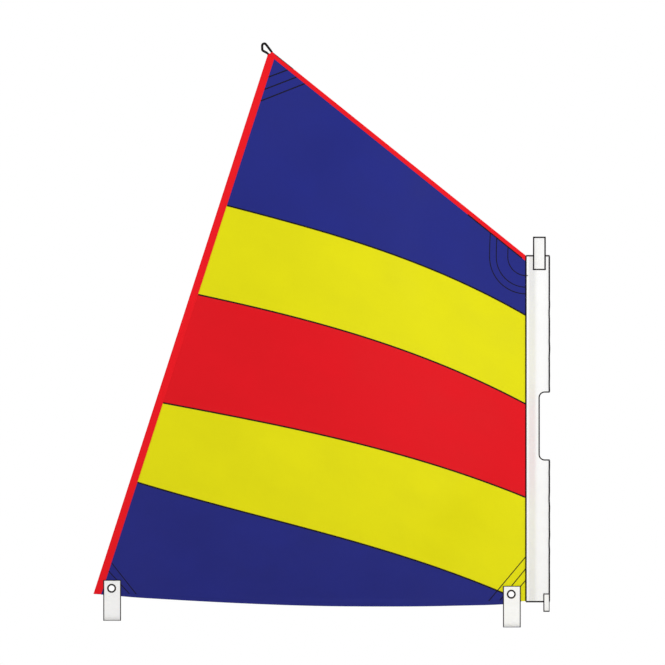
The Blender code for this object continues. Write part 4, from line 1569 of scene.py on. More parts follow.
@dataclass
class SeamStitches:
    """The two rows of zigzag that close each lap: dense black over the raw edge, and a plain inner row."""

    edge_width: float = 0.0080
    edge_drop: float = 0.0011
    edge_pitch: float = 0.0011
    edge_thread: float = 0.0015
    inner_width: float = 0.0040
    inner_pitch: float = 0.0024
    inner_thread: float = 0.0007
    front_rise: float = 0.0006
    back_rise: float = 0.00028
    tape_gap: float = 0.001
    tip_gap: float = 0.004
    sleeve_gap: float = 0.0035
    line_steps: int = 400

    def line(self, edge: BandEdge, distance: float) -> Array:
        """Lays a line beside an edge, from the leech tape to the sleeve or the foot's tip.

        Args:
            edge: The edge.
            distance: How far above the edge it lies.

        Returns:
            Its points as (x, z).
        """
        start = edge.start(LEECH_TAPE_WIDTH + self.tape_gap)
        stop = foot_tip() - self.tip_gap if edge is FOOT_SEAM else TACK[0] - self.sleeve_gap
        return edge.beside(np.linspace(start, stop, self.line_steps), distance)

    def build(self) -> dict[str, list[Piece]]:
        """Sews both rows of each seam, on both sides of the sail.

        Returns:
            The threads, by the lapping panel that they hold down.
        """
        names = ("foot_seam", "lower_seam", "upper_seam", "head_seam")
        panels = ("foot_panel", "middle_panel", "middle_panel", "head_panel")
        made = {name: [] for name in panels}
        level, steps = (LAYERS.face, LAYERS.face), (LAYERS.face, -LAYERS.inner)
        dense, fine = (self.edge_thread, self.front_rise), (self.inner_thread, self.back_rise)
        black = (BLACK_THREAD, Slot.BLACK)
        for name, panel, (edge, way) in zip(names, panels, SEAMS):
            plain = (RED_THREAD, Slot.RED) if panel == "middle_panel" else (BLUE_THREAD, Slot.BLUE)
            front, back = (steps, steps[::-1]) if way is Way.ABOVE else (steps[::-1], steps)
            over, inside = self.line(edge, -self.edge_drop), self.line(edge, LAP * way.value)
            size, inner = (self.edge_width, self.edge_pitch), (self.inner_width, self.inner_pitch)
            loose = (self.edge_width, self.edge_pitch * 2)
            rows = (
                ("edge_thread", sail_zigzag(over, *size, front, Side.FRONT), dense, black),
                ("edge_thread_back", sail_zigzag(over, *loose, level, Side.BACK), fine, black),
                ("inner_thread", sail_zigzag(inside, *inner, level, Side.FRONT), fine, plain),
                ("inner_thread_back", sail_zigzag(inside, *inner, back, Side.BACK), fine, plain),
            )
            for row, stitches, thread, look in rows:
                made[panel].append(sew_thread(f"{name}_{row}", stitches, thread, *look))
        return made


@dataclass
class FootHem:
    """The hem of the blue cloth, folded round the foot's edge and a little below it."""

    width: float = 0.0110
    lift: float = 0.0021
    thickness: float = 0.0007
    drop: float = 0.0036
    tack_drop: float = 0.0040
    tack_place: float = 0.945
    tack_spread: float = 0.075
    aft_fade: float = 0.12
    fore_fade: float = 0.035
    lift_up: float = 0.0016
    lift_place: float = 0.66
    lift_spread: float = 0.12
    spacing: float = 0.007
    fold_steps: int = 9
    wall_steps: int = 6
    fold_share: float = 0.3
    thread_inset: float = 0.0035
    zigzag: Pair = (0.0030, 0.0024)
    thread: Pair = (0.0007, 0.0004)

    def edge(self, x: Array) -> Array:
        """Follows the hem's fold, which hangs lowest near the tack.

        Args:
            x: Places along the foot.

        Returns:
            The fold's points as (x, z).
        """
        t = FOOT.along(x)
        ends = smooth_step(t / self.aft_fade) * smooth_step((1 - t) / self.fore_fade)
        near_tack = np.exp(-(((t - self.tack_place) / self.tack_spread) ** 2))
        level = self.drop - self.lift_up * np.exp(-(((t - self.lift_place) / self.lift_spread) ** 2))
        return points_at(x, FOOT.height(x) - (level + self.tack_drop * near_tack) * ends)

    def build(self) -> list[Piece]:
        """Folds the hem and sews it.

        Returns:
            The hem and its thread.
        """
        inset = LEECH_TAPE_WIDTH + 2 * LAYERS.gap
        x = np.arange(FOOT.start(inset), foot_tip(), self.spacing)
        edge = self.edge(x)
        bend = np.linspace(-math.pi / 2, math.pi / 2, self.fold_steps)
        wall = np.linspace(1.0, self.fold_share, self.wall_steps)
        lifts = np.concatenate([-np.ones(len(wall)), np.sin(bend), np.ones(len(wall))]) * self.lift
        top = FOOT.height(x) + self.width - edge[:, 1]
        ups = np.concatenate([wall, self.fold_share * (1 - np.cos(bend)), wall[::-1]])
        flat = points_at(x, edge[:, 1] + top * ups[:, None])
        hem = add_cloth("foot_hem", SAIL.at(flat, lifts[:, None]), SHADED_FOOT_CLOTH)
        thicken(hem, self.thickness)
        CLEW_EYELET.cut(hem)
        TACK_EYELET.cut(hem)
        dress(hem, Body.SAIL, Slot.BLUE)
        face = self.lift + self.thickness / 2
        inner = points_at(x, FOOT.height(x) + self.width - self.thread_inset)
        rows = [sail_zigzag(inner, *self.zigzag, (face, face), side) for side in Side]
        return [hem, sew_thread("foot_hem_thread", join_rows(rows), self.thread, BLUE_THREAD, Slot.BLUE)]


def fold_section(width: float, lift: float, steps: int, slack: float = 0.0) -> Array:
    """Gives a tape's section folded round an edge.

    Args:
        width: How far in from the edge it reaches.
        lift: How far its walls lie from the middle of the sail.
        steps: How many points each wall and the fold get.
        slack: How far past the edge the fold lies.

    Returns:
        The section, as distance in from the edge and lift, from the front wall to the back one.
    """
    centre = lift + LAYERS.tape / 2 - slack
    wall = np.linspace(width, centre, steps, endpoint=False)
    bend = np.linspace(-math.pi / 2, math.pi / 2, steps)
    fold = points_at(centre - lift * np.cos(bend), lift * np.sin(bend))
    return np.vstack([points_at(wall, -lift), fold, points_at(wall[::-1], lift)])


@dataclass
class EdgeTapes:
    """The red tapes folded round the leech and the head, and the thread that holds them."""

    spacing: float = 0.008
    steps: int = 7
    step_length: float = 0.0120
    past_peak: float = 0.02
    past_throat: float = 0.01
    leech_slack: float = 0.0016
    thread_inset: float = 0.0040
    zigzag: Pair = (0.0034, 0.0022)
    thread: Pair = (0.0006, 0.00028)
    leech_gaps: Pair = (0.012, 0.060)
    head_gaps: Pair = (0.075, 0.012)
    bar_length: float = 0.320
    bar_gap: float = 0.008
    bar_zigzag: Pair = (0.0060, 0.0011)
    edge_line_start: float = 0.0225
    edge_line_length: float = 0.115
    edge_line_inset: float = 0.0012
    edge_zigzag: Pair = (0.0036, 0.0011)
    edge_dip: float = 0.001
    heavy_thread: Pair = (0.0015, 0.0006)

    def leech_points(self) -> Array:
        """Lays out the leech tape.

        Returns:
            Its grid of points.
        """
        start = CLEW - LEECH_ALONG * HEM_WIDTH
        along = resample(np.stack([start, PEAK]), self.spacing)
        section = fold_section(LEECH_TAPE_WIDTH, LAYERS.tape_lift, self.steps, self.leech_slack)
        flat = along[None] + section[:, None, :1] * LEECH_INWARD
        return SAIL.at(flat, section[:, None, 1])

    def head_points(self) -> Array:
        """Lays out the head tape, which steps up over the leech tape at the peak.

        Returns:
            Its grid of points.
        """
        over = (LEECH_TAPE_WIDTH + 2 * LAYERS.gap) / abs(float(np.dot(HEAD_ALONG, LEECH_INWARD)))
        ends = [PEAK - HEAD_ALONG * self.past_peak, THROAT + HEAD_ALONG * self.past_throat]
        along = resample(np.stack(ends), self.spacing / 2)
        far = (along - PEAK) @ HEAD_ALONG
        climb = smooth_step((over + self.step_length - far) / self.step_length)
        rows = []
        for share in climb:
            lift = LAYERS.tape_lift + (LAYERS.tape_over_tape - LAYERS.tape_lift) * float(share)
            rows.append(fold_section(HEAD_TAPE_WIDTH, lift, self.steps))
        section = np.stack(rows, axis=1)
        flat = along[None] + section[..., :1] * HEAD_INWARD
        return SAIL.at(flat, section[..., 1])

    def build(self) -> None:
        """Sews both tapes on."""
        leech = self.leech_points()
        piece = add_cloth("leech_tape_fold", leech, RED_TAPE)
        trim(piece, CLEW, np.array((0.0, -1.0)))
        under_head = LAYERS.tape_over_tape + LAYERS.tape / 2 + LAYERS.gap
        trim(piece, PEAK + HEAD_INWARD * under_head, -HEAD_INWARD)
        trim(piece, CUT_MIDDLE, CUT_OUTWARD)
        sewn = self.sew()
        self.declare(piece, "leech_tape")
        head = self.head_points()
        piece = add_cloth("head_tape_fold", head, RED_TAPE)
        trim(piece, CUT_MIDDLE, CUT_OUTWARD)
        trim(piece, np.array((SLEEVE.aft - LAYERS.gap, 0.0)), np.array((1.0, 0.0)))
        self.declare(piece, "head_tape")

    def declare(self, piece: Piece, node: str) -> None:
        """Args:
            piece: The tape, trimmed.
            node: The node that it stands for.
        """
        thicken(piece, LAYERS.tape)
        dress(piece, Body.SAIL, Slot.TAPE, node)

    def sew(self) -> list[Piece]:
        """Sews the tapes' inner edges in red on both sides, and parts of the head's in black in front.

        Returns:
            The leech tape's thread, the head tape's and the black one.
        """
        face = LAYERS.tape_lift + LAYERS.tape / 2
        leech_line = LEECH_INWARD * (LEECH_TAPE_WIDTH - self.thread_inset)
        head_line = HEAD_INWARD * (HEAD_TAPE_WIDTH - self.thread_inset)
        low = CLEW + leech_line + LEECH_ALONG * self.leech_gaps[0]
        top = PEAK + leech_line - LEECH_ALONG * self.leech_gaps[1]
        aft = PEAK + head_line + HEAD_ALONG * self.head_gaps[0]
        fore = THROAT + head_line - HEAD_ALONG * self.head_gaps[1]
        made = []
        for name, line in (("leech", np.stack([low, top])), ("head", np.stack([aft, fore]))):
            rows = join_rows([sail_zigzag(line, *self.zigzag, (face, face), side) for side in Side])
            made.append(sew_thread(f"{name}_tape_thread", rows, self.thread, RED_THREAD, Slot.TAPE))
        return made + [self.sew_ends(face)]

    def sew_ends(self, face: float) -> Piece:
        """Works the black bar towards the throat and the black overcast edge beside the peak.

        Args:
            face: How far the tape's outer face lies from the middle of the sail.

        Returns:
            The black thread.
        """
        inner = THROAT + HEAD_INWARD * HEAD_TAPE_WIDTH
        bar = np.stack([inner - HEAD_ALONG * self.bar_length, inner - HEAD_ALONG * self.bar_gap])
        outer = PEAK + HEAD_ALONG * self.edge_line_start + HEAD_INWARD * self.edge_line_inset
        edge = np.stack([outer, outer + HEAD_ALONG * self.edge_line_length])
        rows = [
            sail_zigzag(bar, *self.bar_zigzag, (face, LAYERS.face), Side.FRONT),
            sail_zigzag(edge, *self.edge_zigzag, (face - self.edge_dip, face), Side.FRONT),
        ]
        name = "head_tape_bar_thread"
        return sew_thread(name, join_rows(rows), self.heavy_thread, BLACK_THREAD, Slot.BLACK)


def foot_run(start: float, stop: float, steps: int) -> Array:
    """Gives points along the foot and a little above its edge, from one x to another."""
    x = np.linspace(start, stop, steps + 1)
    return points_at(x, FOOT.height(x) + PATCH_ABOVE_FOOT)


def crossing(point: Array, along: Array, other: Array, other_along: Array) -> Array:
    """Finds where two lines of the plan cross, each given by a point and a direction."""
    across = np.array((-other_along[1], other_along[0]))
    return point + along * float((other - point) @ across / (along @ across))


@dataclass(frozen=True)
class Patch:
    """A patch behind a corner: its outline, its free edge, sewn in black, and its place in the stack."""

    node: str
    outline: Array
    free_edge: Array
    finish: Sailcloth
    slot: Slot
    seat: float


@dataclass
class CornerPatches:
    """The stacked patches behind the four corners, and their stitch lines on both sides."""

    line_pitch: float = 0.0011
    front_thread: Pair = (0.0015, 0.0005)
    back_thread: Pair = (0.0006, 0.00026)
    line_spacing: float = 0.001
    fewest_points: int = 4
    foot_steps: int = 4
    throat_stretch: float = 3.2
    throat_tail: float = 0.0090
    throat_rounds: int = 30
    upper_steps: int = 12
    lower_steps: int = 24

    def seats(self, cloth_back: float, count: int) -> list[float]:
        """Gives the middle of each patch of a stack, the largest next to the cloth."""
        first = cloth_back + LAYERS.gap + LAYERS.patch / 2
        return [first + number * (LAYERS.patch + LAYERS.gap) for number in range(count)]

    def peak(self) -> list[tuple[Array, Array]]:
        """Lays out the patches at the peak, between the two tapes.

        Returns:
            The outline and the free edge of each patch, the largest first.
        """
        leech = PEAK + LEECH_INWARD * (LEECH_TAPE_WIDTH + LAYERS.gap)
        head = PEAK + HEAD_INWARD * (HEAD_TAPE_WIDTH + LAYERS.gap)
        corner = crossing(leech, LEECH_ALONG, head, HEAD_ALONG)
        made = []
        for down, out in PEAK_PATCHES:
            free = np.stack([leech - LEECH_ALONG * down, head + HEAD_ALONG * out])
            made.append((np.vstack([corner, free]), free))
        return made

    def clew(self) -> list[tuple[Array, Array]]:
        """Lays out the patches at the clew, between the leech tape and the foot.

        Returns:
            The outline and the free edge of each patch, the largest first.
        """
        leech = CLEW + LEECH_INWARD * (LEECH_TAPE_WIDTH + LAYERS.gap)
        sill = np.array((CLEW[0], float(FOOT.height(leech[0])) + PATCH_ABOVE_FOOT))
        corner = crossing(leech, LEECH_ALONG, sill, np.array((1.0, 0.0)))
        made = []
        for up, forward in CLEW_PATCHES:
            foot = foot_run(corner[0], CLEW[0] + forward, self.foot_steps)
            top = leech + LEECH_ALONG * up
            made.append((np.vstack([foot, top]), np.stack([foot[-1], top])))
        return made

    def tack(self) -> list[tuple[Array, Array]]:
        """Lays out the patches at the tack, between the sleeve and the foot.

        Returns:
            The outline and the free edge of each patch, the largest first.
        """
        fore = SLEEVE.aft - LAYERS.gap
        made = []
        for up, aft in TACK_PATCHES:
            foot = foot_run(SLEEVE.aft - aft, fore, self.foot_steps)
            top = np.array((fore, up))
            made.append((np.vstack([foot, top]), np.stack([top, foot[0]])))
        return made

    def throat(self) -> list[tuple[Array, Array]]:
        """Lays out the patches at the throat, round below the head tape.

        Returns:
            The outline and the free edge of each patch, the largest first.
        """
        head = THROAT + HEAD_INWARD * (HEAD_TAPE_WIDTH + LAYERS.gap)
        luff = np.array((SLEEVE.aft - LAYERS.gap, 0.0))
        down = np.array((0.0, -1.0))
        corner = crossing(head, HEAD_ALONG, luff, down)
        slope = float(HEAD_ALONG[1] / HEAD_ALONG[0])
        made = []
        for radius in THROAT_PATCHES:
            rise = 0.0
            for _ in range(self.throat_rounds):
                aft = -radius * math.sqrt(1 - (rise / (self.throat_stretch * radius)) ** 2)
                rise = float(head[1] - THROAT_CENTRE[1] + slope * (THROAT_CENTRE[0] + aft - head[0]))
            rises = np.linspace(rise, 0.0, self.upper_steps)[:-1]
            afts = -radius * np.sqrt(1 - (rises / (self.throat_stretch * radius)) ** 2)
            stop = math.pi + math.acos((THROAT_CENTRE[0] - luff[0]) / radius)
            turn = np.linspace(math.pi, stop, self.lower_steps)
            low = radius * points_at(np.cos(turn), np.sin(turn))
            arc = THROAT_CENTRE + np.vstack([points_at(afts, rises), low])
            made.append((np.vstack([corner, arc]), arc))
        return made

    def stacks(self) -> dict[str, list[Patch]]:
        """Lists the eleven patches by their corner.

        Returns:
            Each corner's patches, the largest first.
        """
        single_back = -LAYERS.panel + LAYERS.cloth / 2
        looks = (
            ("peak", self.peak(), single_back, BLUE_CLOTH, Slot.BLUE),
            ("throat", self.throat(), single_back, BLUE_CLOTH, Slot.BLUE),
            ("clew", self.clew(), single_back, BLUE_CLOTH, Slot.BLUE),
            ("tack", self.tack(), LAYERS.face, YELLOW_CLOTH, Slot.YELLOW),
        )
        made = {}
        for corner, shapes, back, finish, slot in looks:
            names = ("large", "middle", "small") if len(shapes) == 3 else ("large", "small")
            made[corner] = [
                Patch(f"{corner}_patch_{size}", outline, free, finish, slot, seat)
                for size, (outline, free), seat in zip(names, shapes, self.seats(back, len(shapes)))
            ]
        return made

    def front_lift(self, line: Array) -> float:
        """Gives how far forward the sail's front face lies under the middle of a stitch line."""
        x, z = line.mean(axis=0)
        return -LAYERS.inner if FOOT_SEAM.height(x) < z < LOWER_SEAM.height(x) else LAYERS.face

    def front_pieces(self, line: Array) -> list[Array]:
        """Splits a stitch line where it crosses the foot seam, so that each piece lies on one cloth.

        Args:
            line: The stitch line.

        Returns:
            Its pieces.
        """
        fine = resample(line, self.line_spacing)
        above = fine[:, 1] > FOOT_SEAM.height(fine[:, 0])
        switch = np.flatnonzero(np.diff(above.astype(int)))
        if not len(switch):
            return [fine]
        cut = int(switch[0]) + 1
        return [part for part in (fine[:cut], fine[cut:]) if len(part) > self.fewest_points]

    def build(self) -> None:
        """Makes each corner's patches and their stitch lines."""
        for corner, stack in self.stacks().items():
            sewn = self.sew(corner, stack)
            for patch in stack:
                self.build_patch(patch)

    def sew(self, corner: str, stack: list[Patch]) -> list[Piece]:
        """Sews down the free edges of a corner's patches.

        Args:
            corner: The corner's name.
            stack: Its patches.

        Returns:
            The thread on the front of the sail and on its back.
        """
        width = PATCH_LINE_WIDTHS[corner]
        fronts, backs = [], []
        for patch in stack:
            for part in self.front_pieces(patch.free_edge):
                lift = self.front_lift(part)
                fronts.append(sail_zigzag(part, width, self.line_pitch, (lift, lift), Side.FRONT))
            face = patch.seat + LAYERS.patch / 2
            line = resample(patch.free_edge, self.line_spacing)
            backs.append(sail_zigzag(line, width, self.line_pitch, (face, face), Side.BACK))
        if corner == "throat":
            start = stack[-1].free_edge[-1] + np.array((LAYERS.gap, 0.0))
            tail = np.stack([start, start + np.array((self.throat_tail, 0.0))])
            level = (LAYERS.flange_face, LAYERS.flange_face)
            fronts.append(sail_zigzag(tail, width, self.line_pitch, level, Side.FRONT))
        made = []
        for side, rows, thread in (("front", fronts, self.front_thread), ("back", backs, self.back_thread)):
            name = f"{corner}_patch_thread_{side}"
            made.append(sew_thread(name, join_rows(rows), thread, BLACK_THREAD, Slot.BLACK))
        return made

    def build_patch(self, patch: Patch) -> None:
        """Args:
            patch: The patch.
        """
        points = points_at(patch.outline[:, 0], patch.seat, patch.outline[:, 1])
        faces = [tuple(range(len(points)))]
        piece = add_piece(patch.node + "_cloth", points, faces, patch.finish, patch.outline)
        thicken(piece, LAYERS.patch)
        if patch.node.startswith("clew"):
            CLEW_EYELET.cut(piece)
        if patch.node.startswith("tack"):
            TACK_EYELET.cut(piece)
        dress(piece, Body.SAIL, patch.slot, patch.node)


@dataclass
class LuffSleeve:
    """The white mast sleeve with its window, its bound edges and its black nose tape, painted shade at the
    front.
    """

    spacing: float = 0.0035
    rows: float = 0.008
    window_bottom: float = 0.6345
    window_height: float = 0.3060
    window_aft: float = 0.0050
    window_corner: float = 0.0250
    below: float = 0.0025
    nose_tape_aft: float = 0.0466
    nose_tape_thickness: float = 0.0014
    nose_tape_lift: float = 0.0010
    binding: Pair = (0.0062, 0.0030)
    low_hem: Pair = (0.0070, 0.0028)
    low_hem_height: float = -0.0029
    top_hem: Pair = (0.0076, 0.0028)
    top_hem_height: float = 1.5535
    aft_binding: Pair = (0.0072, 0.0020)
    aft_steps: int = 40
    cutter_depth: float = 0.12
    cutter_segments: int = 10
    nose_spacing: float = 0.0015
    nose_tape_gap: float = 0.001
    edge_steps: int = 12
    edge_start: float = 0.62
    end_spacing: float = 0.003
    row_insets: Pair = (0.0058, 0.0005)
    row_gap: float = 0.006
    zigzag: Pair = (0.0028, 0.0024)
    thread: Pair = (0.0007, 0.0004)

    def wall_points(self, section: Array, normals: Array, heights: Array, lift: float) -> Array:
        """Lays a section of the sleeve up its length.

        Args:
            section: The section's points, as (x, y).
            normals: Its outward normals.
            heights: The heights that it is repeated at.
            lift: How far off the middle of the wall it lies.

        Returns:
            The grid of points.
        """
        x, z = section[:, None, 0], heights[None]
        off = SLEEVE.folds(x, z) + lift
        y = section[:, None, 1] + normals[:, None, 1] * off
        return points_at(x + normals[:, None, 0] * off, y, z)

    def build(self) -> None:
        """Sews the sleeve."""
        section, normals = SLEEVE.section(self.spacing)
        heights = np.linspace(-self.below, SLEEVE.length, round(SLEEVE.length / self.rows))
        points = self.wall_points(section, normals, heights, 0.0)
        piece = add_cloth("luff_sleeve_cloth", points, SLEEVE_CLOTH)
        thicken(piece, LAYERS.sleeve)
        self.cut_window(piece)
        dress(piece, Body.SAIL, Slot.SLEEVE, "luff_sleeve")
        sewn = [*self.nose_shade_tapes(), self.bind_window(), *self.bind_ends(), self.sew()]

    def cut_window(self, piece: Piece) -> None:
        """Cuts the window, open to the front, with round inner corners.

        Args:
            piece: The sleeve's cloth.
        """
        depth = self.cutter_depth
        middle = self.window_bottom + self.window_height / 2
        bpy.ops.mesh.primitive_cube_add(size=1.0, location=(self.window_aft + depth / 2, 0.0, middle))
        cutter = bpy.context.object
        cutter.scale = (depth, depth, self.window_height)
        bpy.ops.object.transform_apply(location=True, rotation=True, scale=True)
        bpy.ops.object.mode_set(mode="EDIT")
        bpy.ops.mesh.select_mode(type="EDGE")
        bpy.ops.mesh.select_all(action="DESELECT")
        bpy.ops.object.mode_set(mode="OBJECT")
        for edge in cutter.data.edges:
            ends = [cutter.data.vertices[number].co for number in edge.vertices]
            edge.select = all(end.x < self.window_aft + depth / 2 for end in ends) and ends[0].z == ends[1].z
        bpy.ops.object.mode_set(mode="EDIT")
        bpy.ops.mesh.bevel(offset=self.window_corner, segments=self.cutter_segments)
        bpy.ops.object.mode_set(mode="OBJECT")
        cut_out(cutter, piece)

    def nose_shade_tapes(self) -> list[Piece]:
        """Lays black tape round the nose, below and above the window: painted shade where the sleeve turns
        away.

        Returns:
            The two tapes.
        """
        section, normals = SLEEVE.section(self.nose_spacing)
        on_nose = section[:, 0] > self.nose_tape_aft
        section, normals = section[on_nose], normals[on_nose]
        top = self.window_bottom + self.window_height
        lift = LAYERS.sleeve / 2 + self.nose_tape_thickness / 2 + self.nose_tape_lift
        made = []
        for name, low, high in (("lower", -self.below, self.window_bottom), ("upper", top, SLEEVE.length)):
            ends = (low + self.nose_tape_gap, high - self.nose_tape_gap)
            heights = np.linspace(*ends, round((high - low) / self.rows))
            points = self.wall_points(section, normals, heights, lift)
            piece = add_cloth(f"nose_tape_{name}", points, BLACK_TAPE)
            thicken(piece, self.nose_tape_thickness)
            dress(piece, Body.SAIL, Slot.BLACK)
            made.append(piece)
        return made

    def window_path(self) -> Array:
        """Follows the window's edge, from the nose below it to the nose above it.

        Returns:
            The edge's points as (x, z).
        """
        corner = self.window_corner
        turn = np.linspace(0.0, math.pi / 2, self.edge_steps)
        fore_turn = np.linspace(math.pi / 2, math.asin(self.edge_start), self.edge_steps)
        fore = SLEEVE.front * np.sin(fore_turn)
        arc_x = self.window_aft + corner * (1 - np.sin(turn))
        arc_z = self.window_bottom + corner * (1 - np.cos(turn))
        rise = np.linspace(0.0, 1.0, self.edge_steps)[1:-1] * (self.window_height - 2 * corner)
        low = np.vstack([points_at(fore, self.window_bottom), points_at(arc_x, arc_z)])
        middle = points_at(self.window_aft, self.window_bottom + corner + rise)
        high = low[::-1] * (1.0, -1.0) + (0.0, 2 * self.window_bottom + self.window_height)
        return np.vstack([low, middle, high])

    def bind_window(self) -> Piece:
        """Binds the window's edge in black, round both sides of the sleeve.

        Returns:
            The binding.
        """
        halves = []
        line = self.window_path()
        for side in Side:
            y, normal = SLEEVE.side_at(line[:, 0], side)
            points = points_at(line[:, 0], y, line[:, 1])
            off = points_at(*normal.T, 0.0)
            across = unit(np.cross(np.gradient(points, axis=0), off)) * -side.value
            half = np.stack([points, across, off])
            halves.append(half[:, :-1] if side is Side.FRONT else half[:, :0:-1])
        joined = np.concatenate(halves, axis=1)
        return bind_edge("window_binding", *joined, self.binding, BLACK_TAPE, closed=True)

    def bind_ends(self) -> list[Piece]:
        """Binds the sleeve's lower and upper ends, and its aft edges on both sides.

        Returns:
            The four bindings.
        """
        made = []
        section, normals = SLEEVE.section(self.end_spacing)
        off = points_at(*normals.T, 0.0)
        up = everywhere((0.0, 0.0, 1.0), off)
        for name, height, size, tape in (
            ("lower", self.low_hem_height, self.low_hem, BLACK_TAPE),
            ("upper", self.top_hem_height, self.top_hem, DARK_TAPE),
        ):
            path = points_at(*section.T, height)
            made.append(bind_edge(f"sleeve_{name}_binding", path, up, off, size, tape))
        heights = np.linspace(-self.below, SLEEVE.length, self.aft_steps)
        for side in Side:
            path = points_at(SLEEVE.aft, LAYERS.seam * side.value, heights)
            fore, out = everywhere((1.0, 0.0, 0.0), path), everywhere((0.0, side.value, 0.0), path)
            name = f"sleeve_aft_binding_{side.name.lower()}"
            made.append(bind_edge(name, path, fore, out, self.aft_binding, BLACK_TAPE))
        return made

    def sew(self) -> Piece:
        """Sews the flange down with two white rows on each side.

        Returns:
            The thread.
        """
        rows = []
        width, pitch = self.zigzag
        z = np.arange(self.row_gap, SLEEVE.length - self.row_gap, pitch)
        for side in Side:
            for x in (SLEEVE.aft + self.row_insets[0], SLEEVE.flange_fore - self.row_insets[1]):
                low = points_at(x - width / 2, LAYERS.flange_face * side.value, z)
                out = everywhere((0.0, side.value, 0.0), low)
                rows.append(zigzag(low, low + np.array((width, 0.0, 0.0)), out))
        return sew_thread("sleeve_thread", join_rows(rows), self.thread, WHITE_THREAD, Slot.SLEEVE)


@dataclass
class WebbingLoop:
    """A loop of white webbing: its grid of points, its bound ends and the dark strip round its bend, painted
    shade.
    """

    node: str
    body: Body
    webbing: Webbing
    shade_strip: RibbedTape
    shade_strip_reach: float
    end_width: float
    end_tape: RibbedTape = BLACK_TAPE
    end_thickness: float = 0.0026
    end_share: float = 0.3
    shade_strip_thickness: float = 0.0007
    shade_strip_gap: float = 0.0001

    def build(self, points: Array, carrier: str, punch: Punch | None = None) -> None:
        """Makes the loop from its grid, whose columns run round the loop.

        Args:
            points: The grid of points, across the webbing and then along it.
            carrier: Not used.
            punch: The punch of its eyelet's hole, where it has one.
        """
        width, length = flat_size(grid_uv(points))
        piece = add_cloth(self.node + "_webbing", points, replace(self.webbing, width=width))
        thicken(piece, LAYERS.webbing)
        if punch is not None:
            punch.cut(piece)
        dress(piece, self.body, Slot.WEBBING, self.node)
        on_it = [*self.bind_ends(points), self.lay_shade_strip(points)]

    def bind_ends(self, points: Array) -> list[Piece]:
        """Binds the two cut ends in tape, which stands off the webbing's outer face only.

        Args:
            points: The loop's grid of points.

        Returns:
            The two bindings.
        """
        made = []
        proud = (self.end_thickness - LAYERS.webbing) / 2
        outwards = offset_grid(points, 1.0) - points
        for name, end, inner in (("front", 0, 1), ("back", -1, -2)):
            path, out = points[:, end], outwards[:, end]
            along = unit(points[:, inner] - path)
            middle = path + along * self.end_width * self.end_share + out * proud
            size, label = (self.end_width, self.end_thickness), f"{self.node}_{name}_end"
            made.append(bind_edge(label, middle, along, out, size, self.end_tape, self.body))
        return made

    def lay_shade_strip(self, points: Array) -> Piece:
        """Lays a strip of dark tape over the outside of the bend, painted shade where the webbing turns away.

        Args:
            points: The loop's grid of points.

        Returns:
            The strip.
        """
        lengths = run_lengths(points[len(points) // 2])
        near = np.abs(lengths - lengths[-1] / 2) < self.shade_strip_reach
        off = LAYERS.webbing / 2 + self.shade_strip_thickness / 2 + self.shade_strip_gap
        piece = add_cloth(f"{self.node}_chafe_strip", offset_grid(points, off)[:, near], self.shade_strip)
        thicken(piece, self.shade_strip_thickness)
        dress(piece, self.body, Slot.BLACK)
        return piece


@dataclass
class SleeveStrap:
    """A webbing loop sewn down both sides of the sleeve that passes over one of its ends."""

    loop: WebbingLoop
    aft: float
    fore: float
    edge: float
    leg: float
    reach: float
    columns: int = 24
    bend_steps: int = 49
    leg_steps: int = 9
    squareness: float = 0.8

    def build(self) -> None:
        """Lays out the loop and makes it."""
        lift = LAYERS.sleeve / 2 + LAYERS.gap + LAYERS.webbing / 2
        points, normals = SLEEVE.half()
        wall = points + normals * lift
        lengths = run_lengths(wall)
        start, stop = np.interp((self.aft, self.fore), wall[:, 0], lengths)
        wanted = np.linspace(start, stop, self.columns)
        x = np.interp(wanted, lengths, wall[:, 0])[:, None]
        y = np.interp(wanted, lengths, wall[:, 1])[:, None]
        crown = self.reach - math.copysign(LAYERS.webbing / 2, self.reach)
        turn = np.linspace(0.0, math.pi, self.bend_steps)[None]
        legs = np.linspace(self.edge - self.leg, self.edge, self.leg_steps)[None, :-1]
        swing = np.sign(np.cos(turn)) * np.abs(np.cos(turn)) ** self.squareness
        arch = self.edge + crown * np.sin(turn) ** self.squareness
        parts = (points_at(x, -y, legs), points_at(x, -y * swing, arch), points_at(x, y, legs[:, ::-1]))
        grid = np.concatenate(parts, axis=1)
        self.loop.build(grid if self.reach > 0 else grid[::-1], "luff_sleeve")


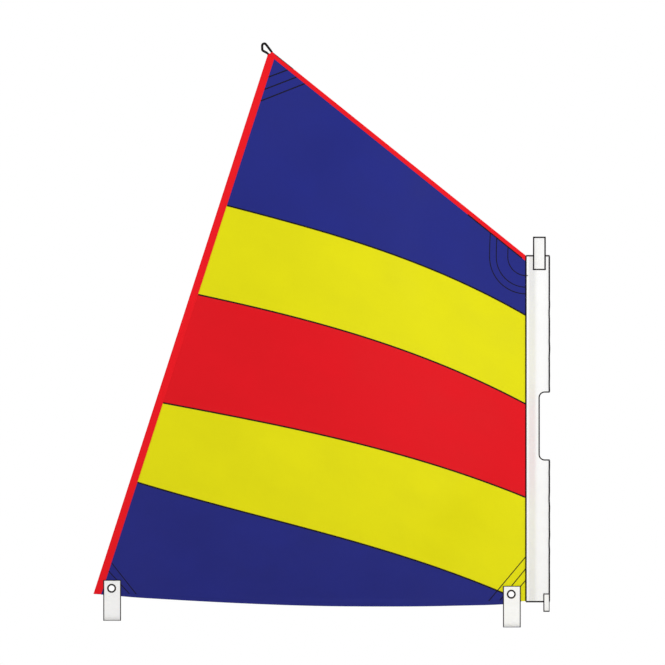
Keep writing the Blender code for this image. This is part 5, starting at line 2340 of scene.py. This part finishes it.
@dataclass
class BoomStrap:
    """A webbing loop for the boom, which hangs from its eyelet."""

    loop: WebbingLoop
    punch: Punch
    below: float
    width: float = 0.0800
    aside: float = 0.0025
    above: float = 0.0365
    straight: float = 0.0450
    boom_space: float = 0.0460
    columns: int = 26
    steps: int = 40
    spacing: float = 0.003

    def path(self) -> Array:
        """Follows the loop from the front leg's top to the back one's.

        Returns:
            The path's points as (y, z), from the eyelet.
        """
        half = self.boom_space / 2 + LAYERS.webbing / 2
        centre = -self.below + LAYERS.webbing / 2 + half
        share = np.linspace(0.0, 1.0, self.steps)
        flare_z = -self.straight + (centre + self.straight) * share
        legs = []
        for side, lift in ((-1.0, LAYERS.strap_front), (1.0, LAYERS.strap_back)):
            flare_y = side * (lift + (half - lift) * smooth_step(share))
            legs.append(np.vstack([(side * lift, self.above), points_at(flare_y, flare_z)]))
        turn = np.linspace(0.0, math.pi, self.steps)[1:-1]
        bend = points_at(-half * np.cos(turn), centre - half * np.sin(turn))
        return np.vstack([legs[0], bend, legs[1][::-1]])

    def build(self) -> None:
        """Lays out the loop and makes it."""
        line = resample(self.path(), self.spacing)
        x = self.punch.centre[0] + self.aside + self.width * np.linspace(-0.5, 0.5, self.columns)
        grid = points_at(x[:, None], line[:, 0], line[:, 1] + self.punch.centre[1])
        self.loop.build(grid[::-1], "foot_panel", self.punch)


def dress_eyelets() -> None:
    """Gives the eyelets and their washers, whose solids stay, their blackened finish."""
    for name in ("clew_eyelet", "clew_washer", "tack_eyelet", "tack_washer"):
        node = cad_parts[name]
        for slot in node.material_slots:
            slot.material = WARDROBE.get(BRASS)
        LOG.info("%s: blackened brass", name)


def build_straps() -> None:
    """Makes the four webbing loops."""
    # Painted light: the low loops' webbing is whiter than the head strap's, making up for their weaker light
    boom_webbing = Webbing("white_boom_webbing", "FCFCFB", "2B2628", tracer_width=0.0046)
    head_webbing = Webbing("white_head_webbing", "F5F5F4", "171314", tracer_width=0.0072)
    down_webbing = Webbing("white_downhaul_webbing", "FCFCFB", "2B2628", tracer_width=0.0048)
    # Each loop's strip of tape over its bend is painted shade, darker where the webbing turns away
    clew = WebbingLoop(
        "clew_strap", Body.CLEW_STRAP, boom_webbing, DARK_TAPE, shade_strip_reach=0.0108, end_width=0.0034
    )
    tack = replace(clew, node="tack_strap", body=Body.TACK_STRAP, shade_strip=PALE_TAPE, shade_strip_reach=0.0118)
    head = WebbingLoop(
        "head_strap", Body.SAIL, head_webbing, BLACK_TAPE, shade_strip_reach=0.0160, end_width=0.0058
    )
    down = replace(head, node="downhaul_loop", webbing=down_webbing, end_tape=DARK_TAPE)
    down = replace(down, shade_strip_reach=0.0125, end_width=0.0050)
    BoomStrap(clew, CLEW_EYELET, below=0.1454).build()
    BoomStrap(tack, TACK_EYELET, below=0.1490).build()
    SleeveStrap(head, aft=-0.0225, fore=0.0350, edge=SLEEVE.length, leg=0.0620, reach=0.0865).build()
    SleeveStrap(down, aft=0.0240, fore=0.0515, edge=0.0, leg=-0.0330, reach=-0.0480).build()


def main() -> None:
    """Builds the studio and each sub-assembly in order."""
    logging.basicConfig(level=logging.INFO, format="%(message)s")
    Studio().build()
    PeakRope().build()
    Bands().build()
    EdgeTapes().build()
    CornerPatches().build()
    LuffSleeve().build()
    build_straps()
    dress_eyelets()


if __name__ == "__main__":
    main()
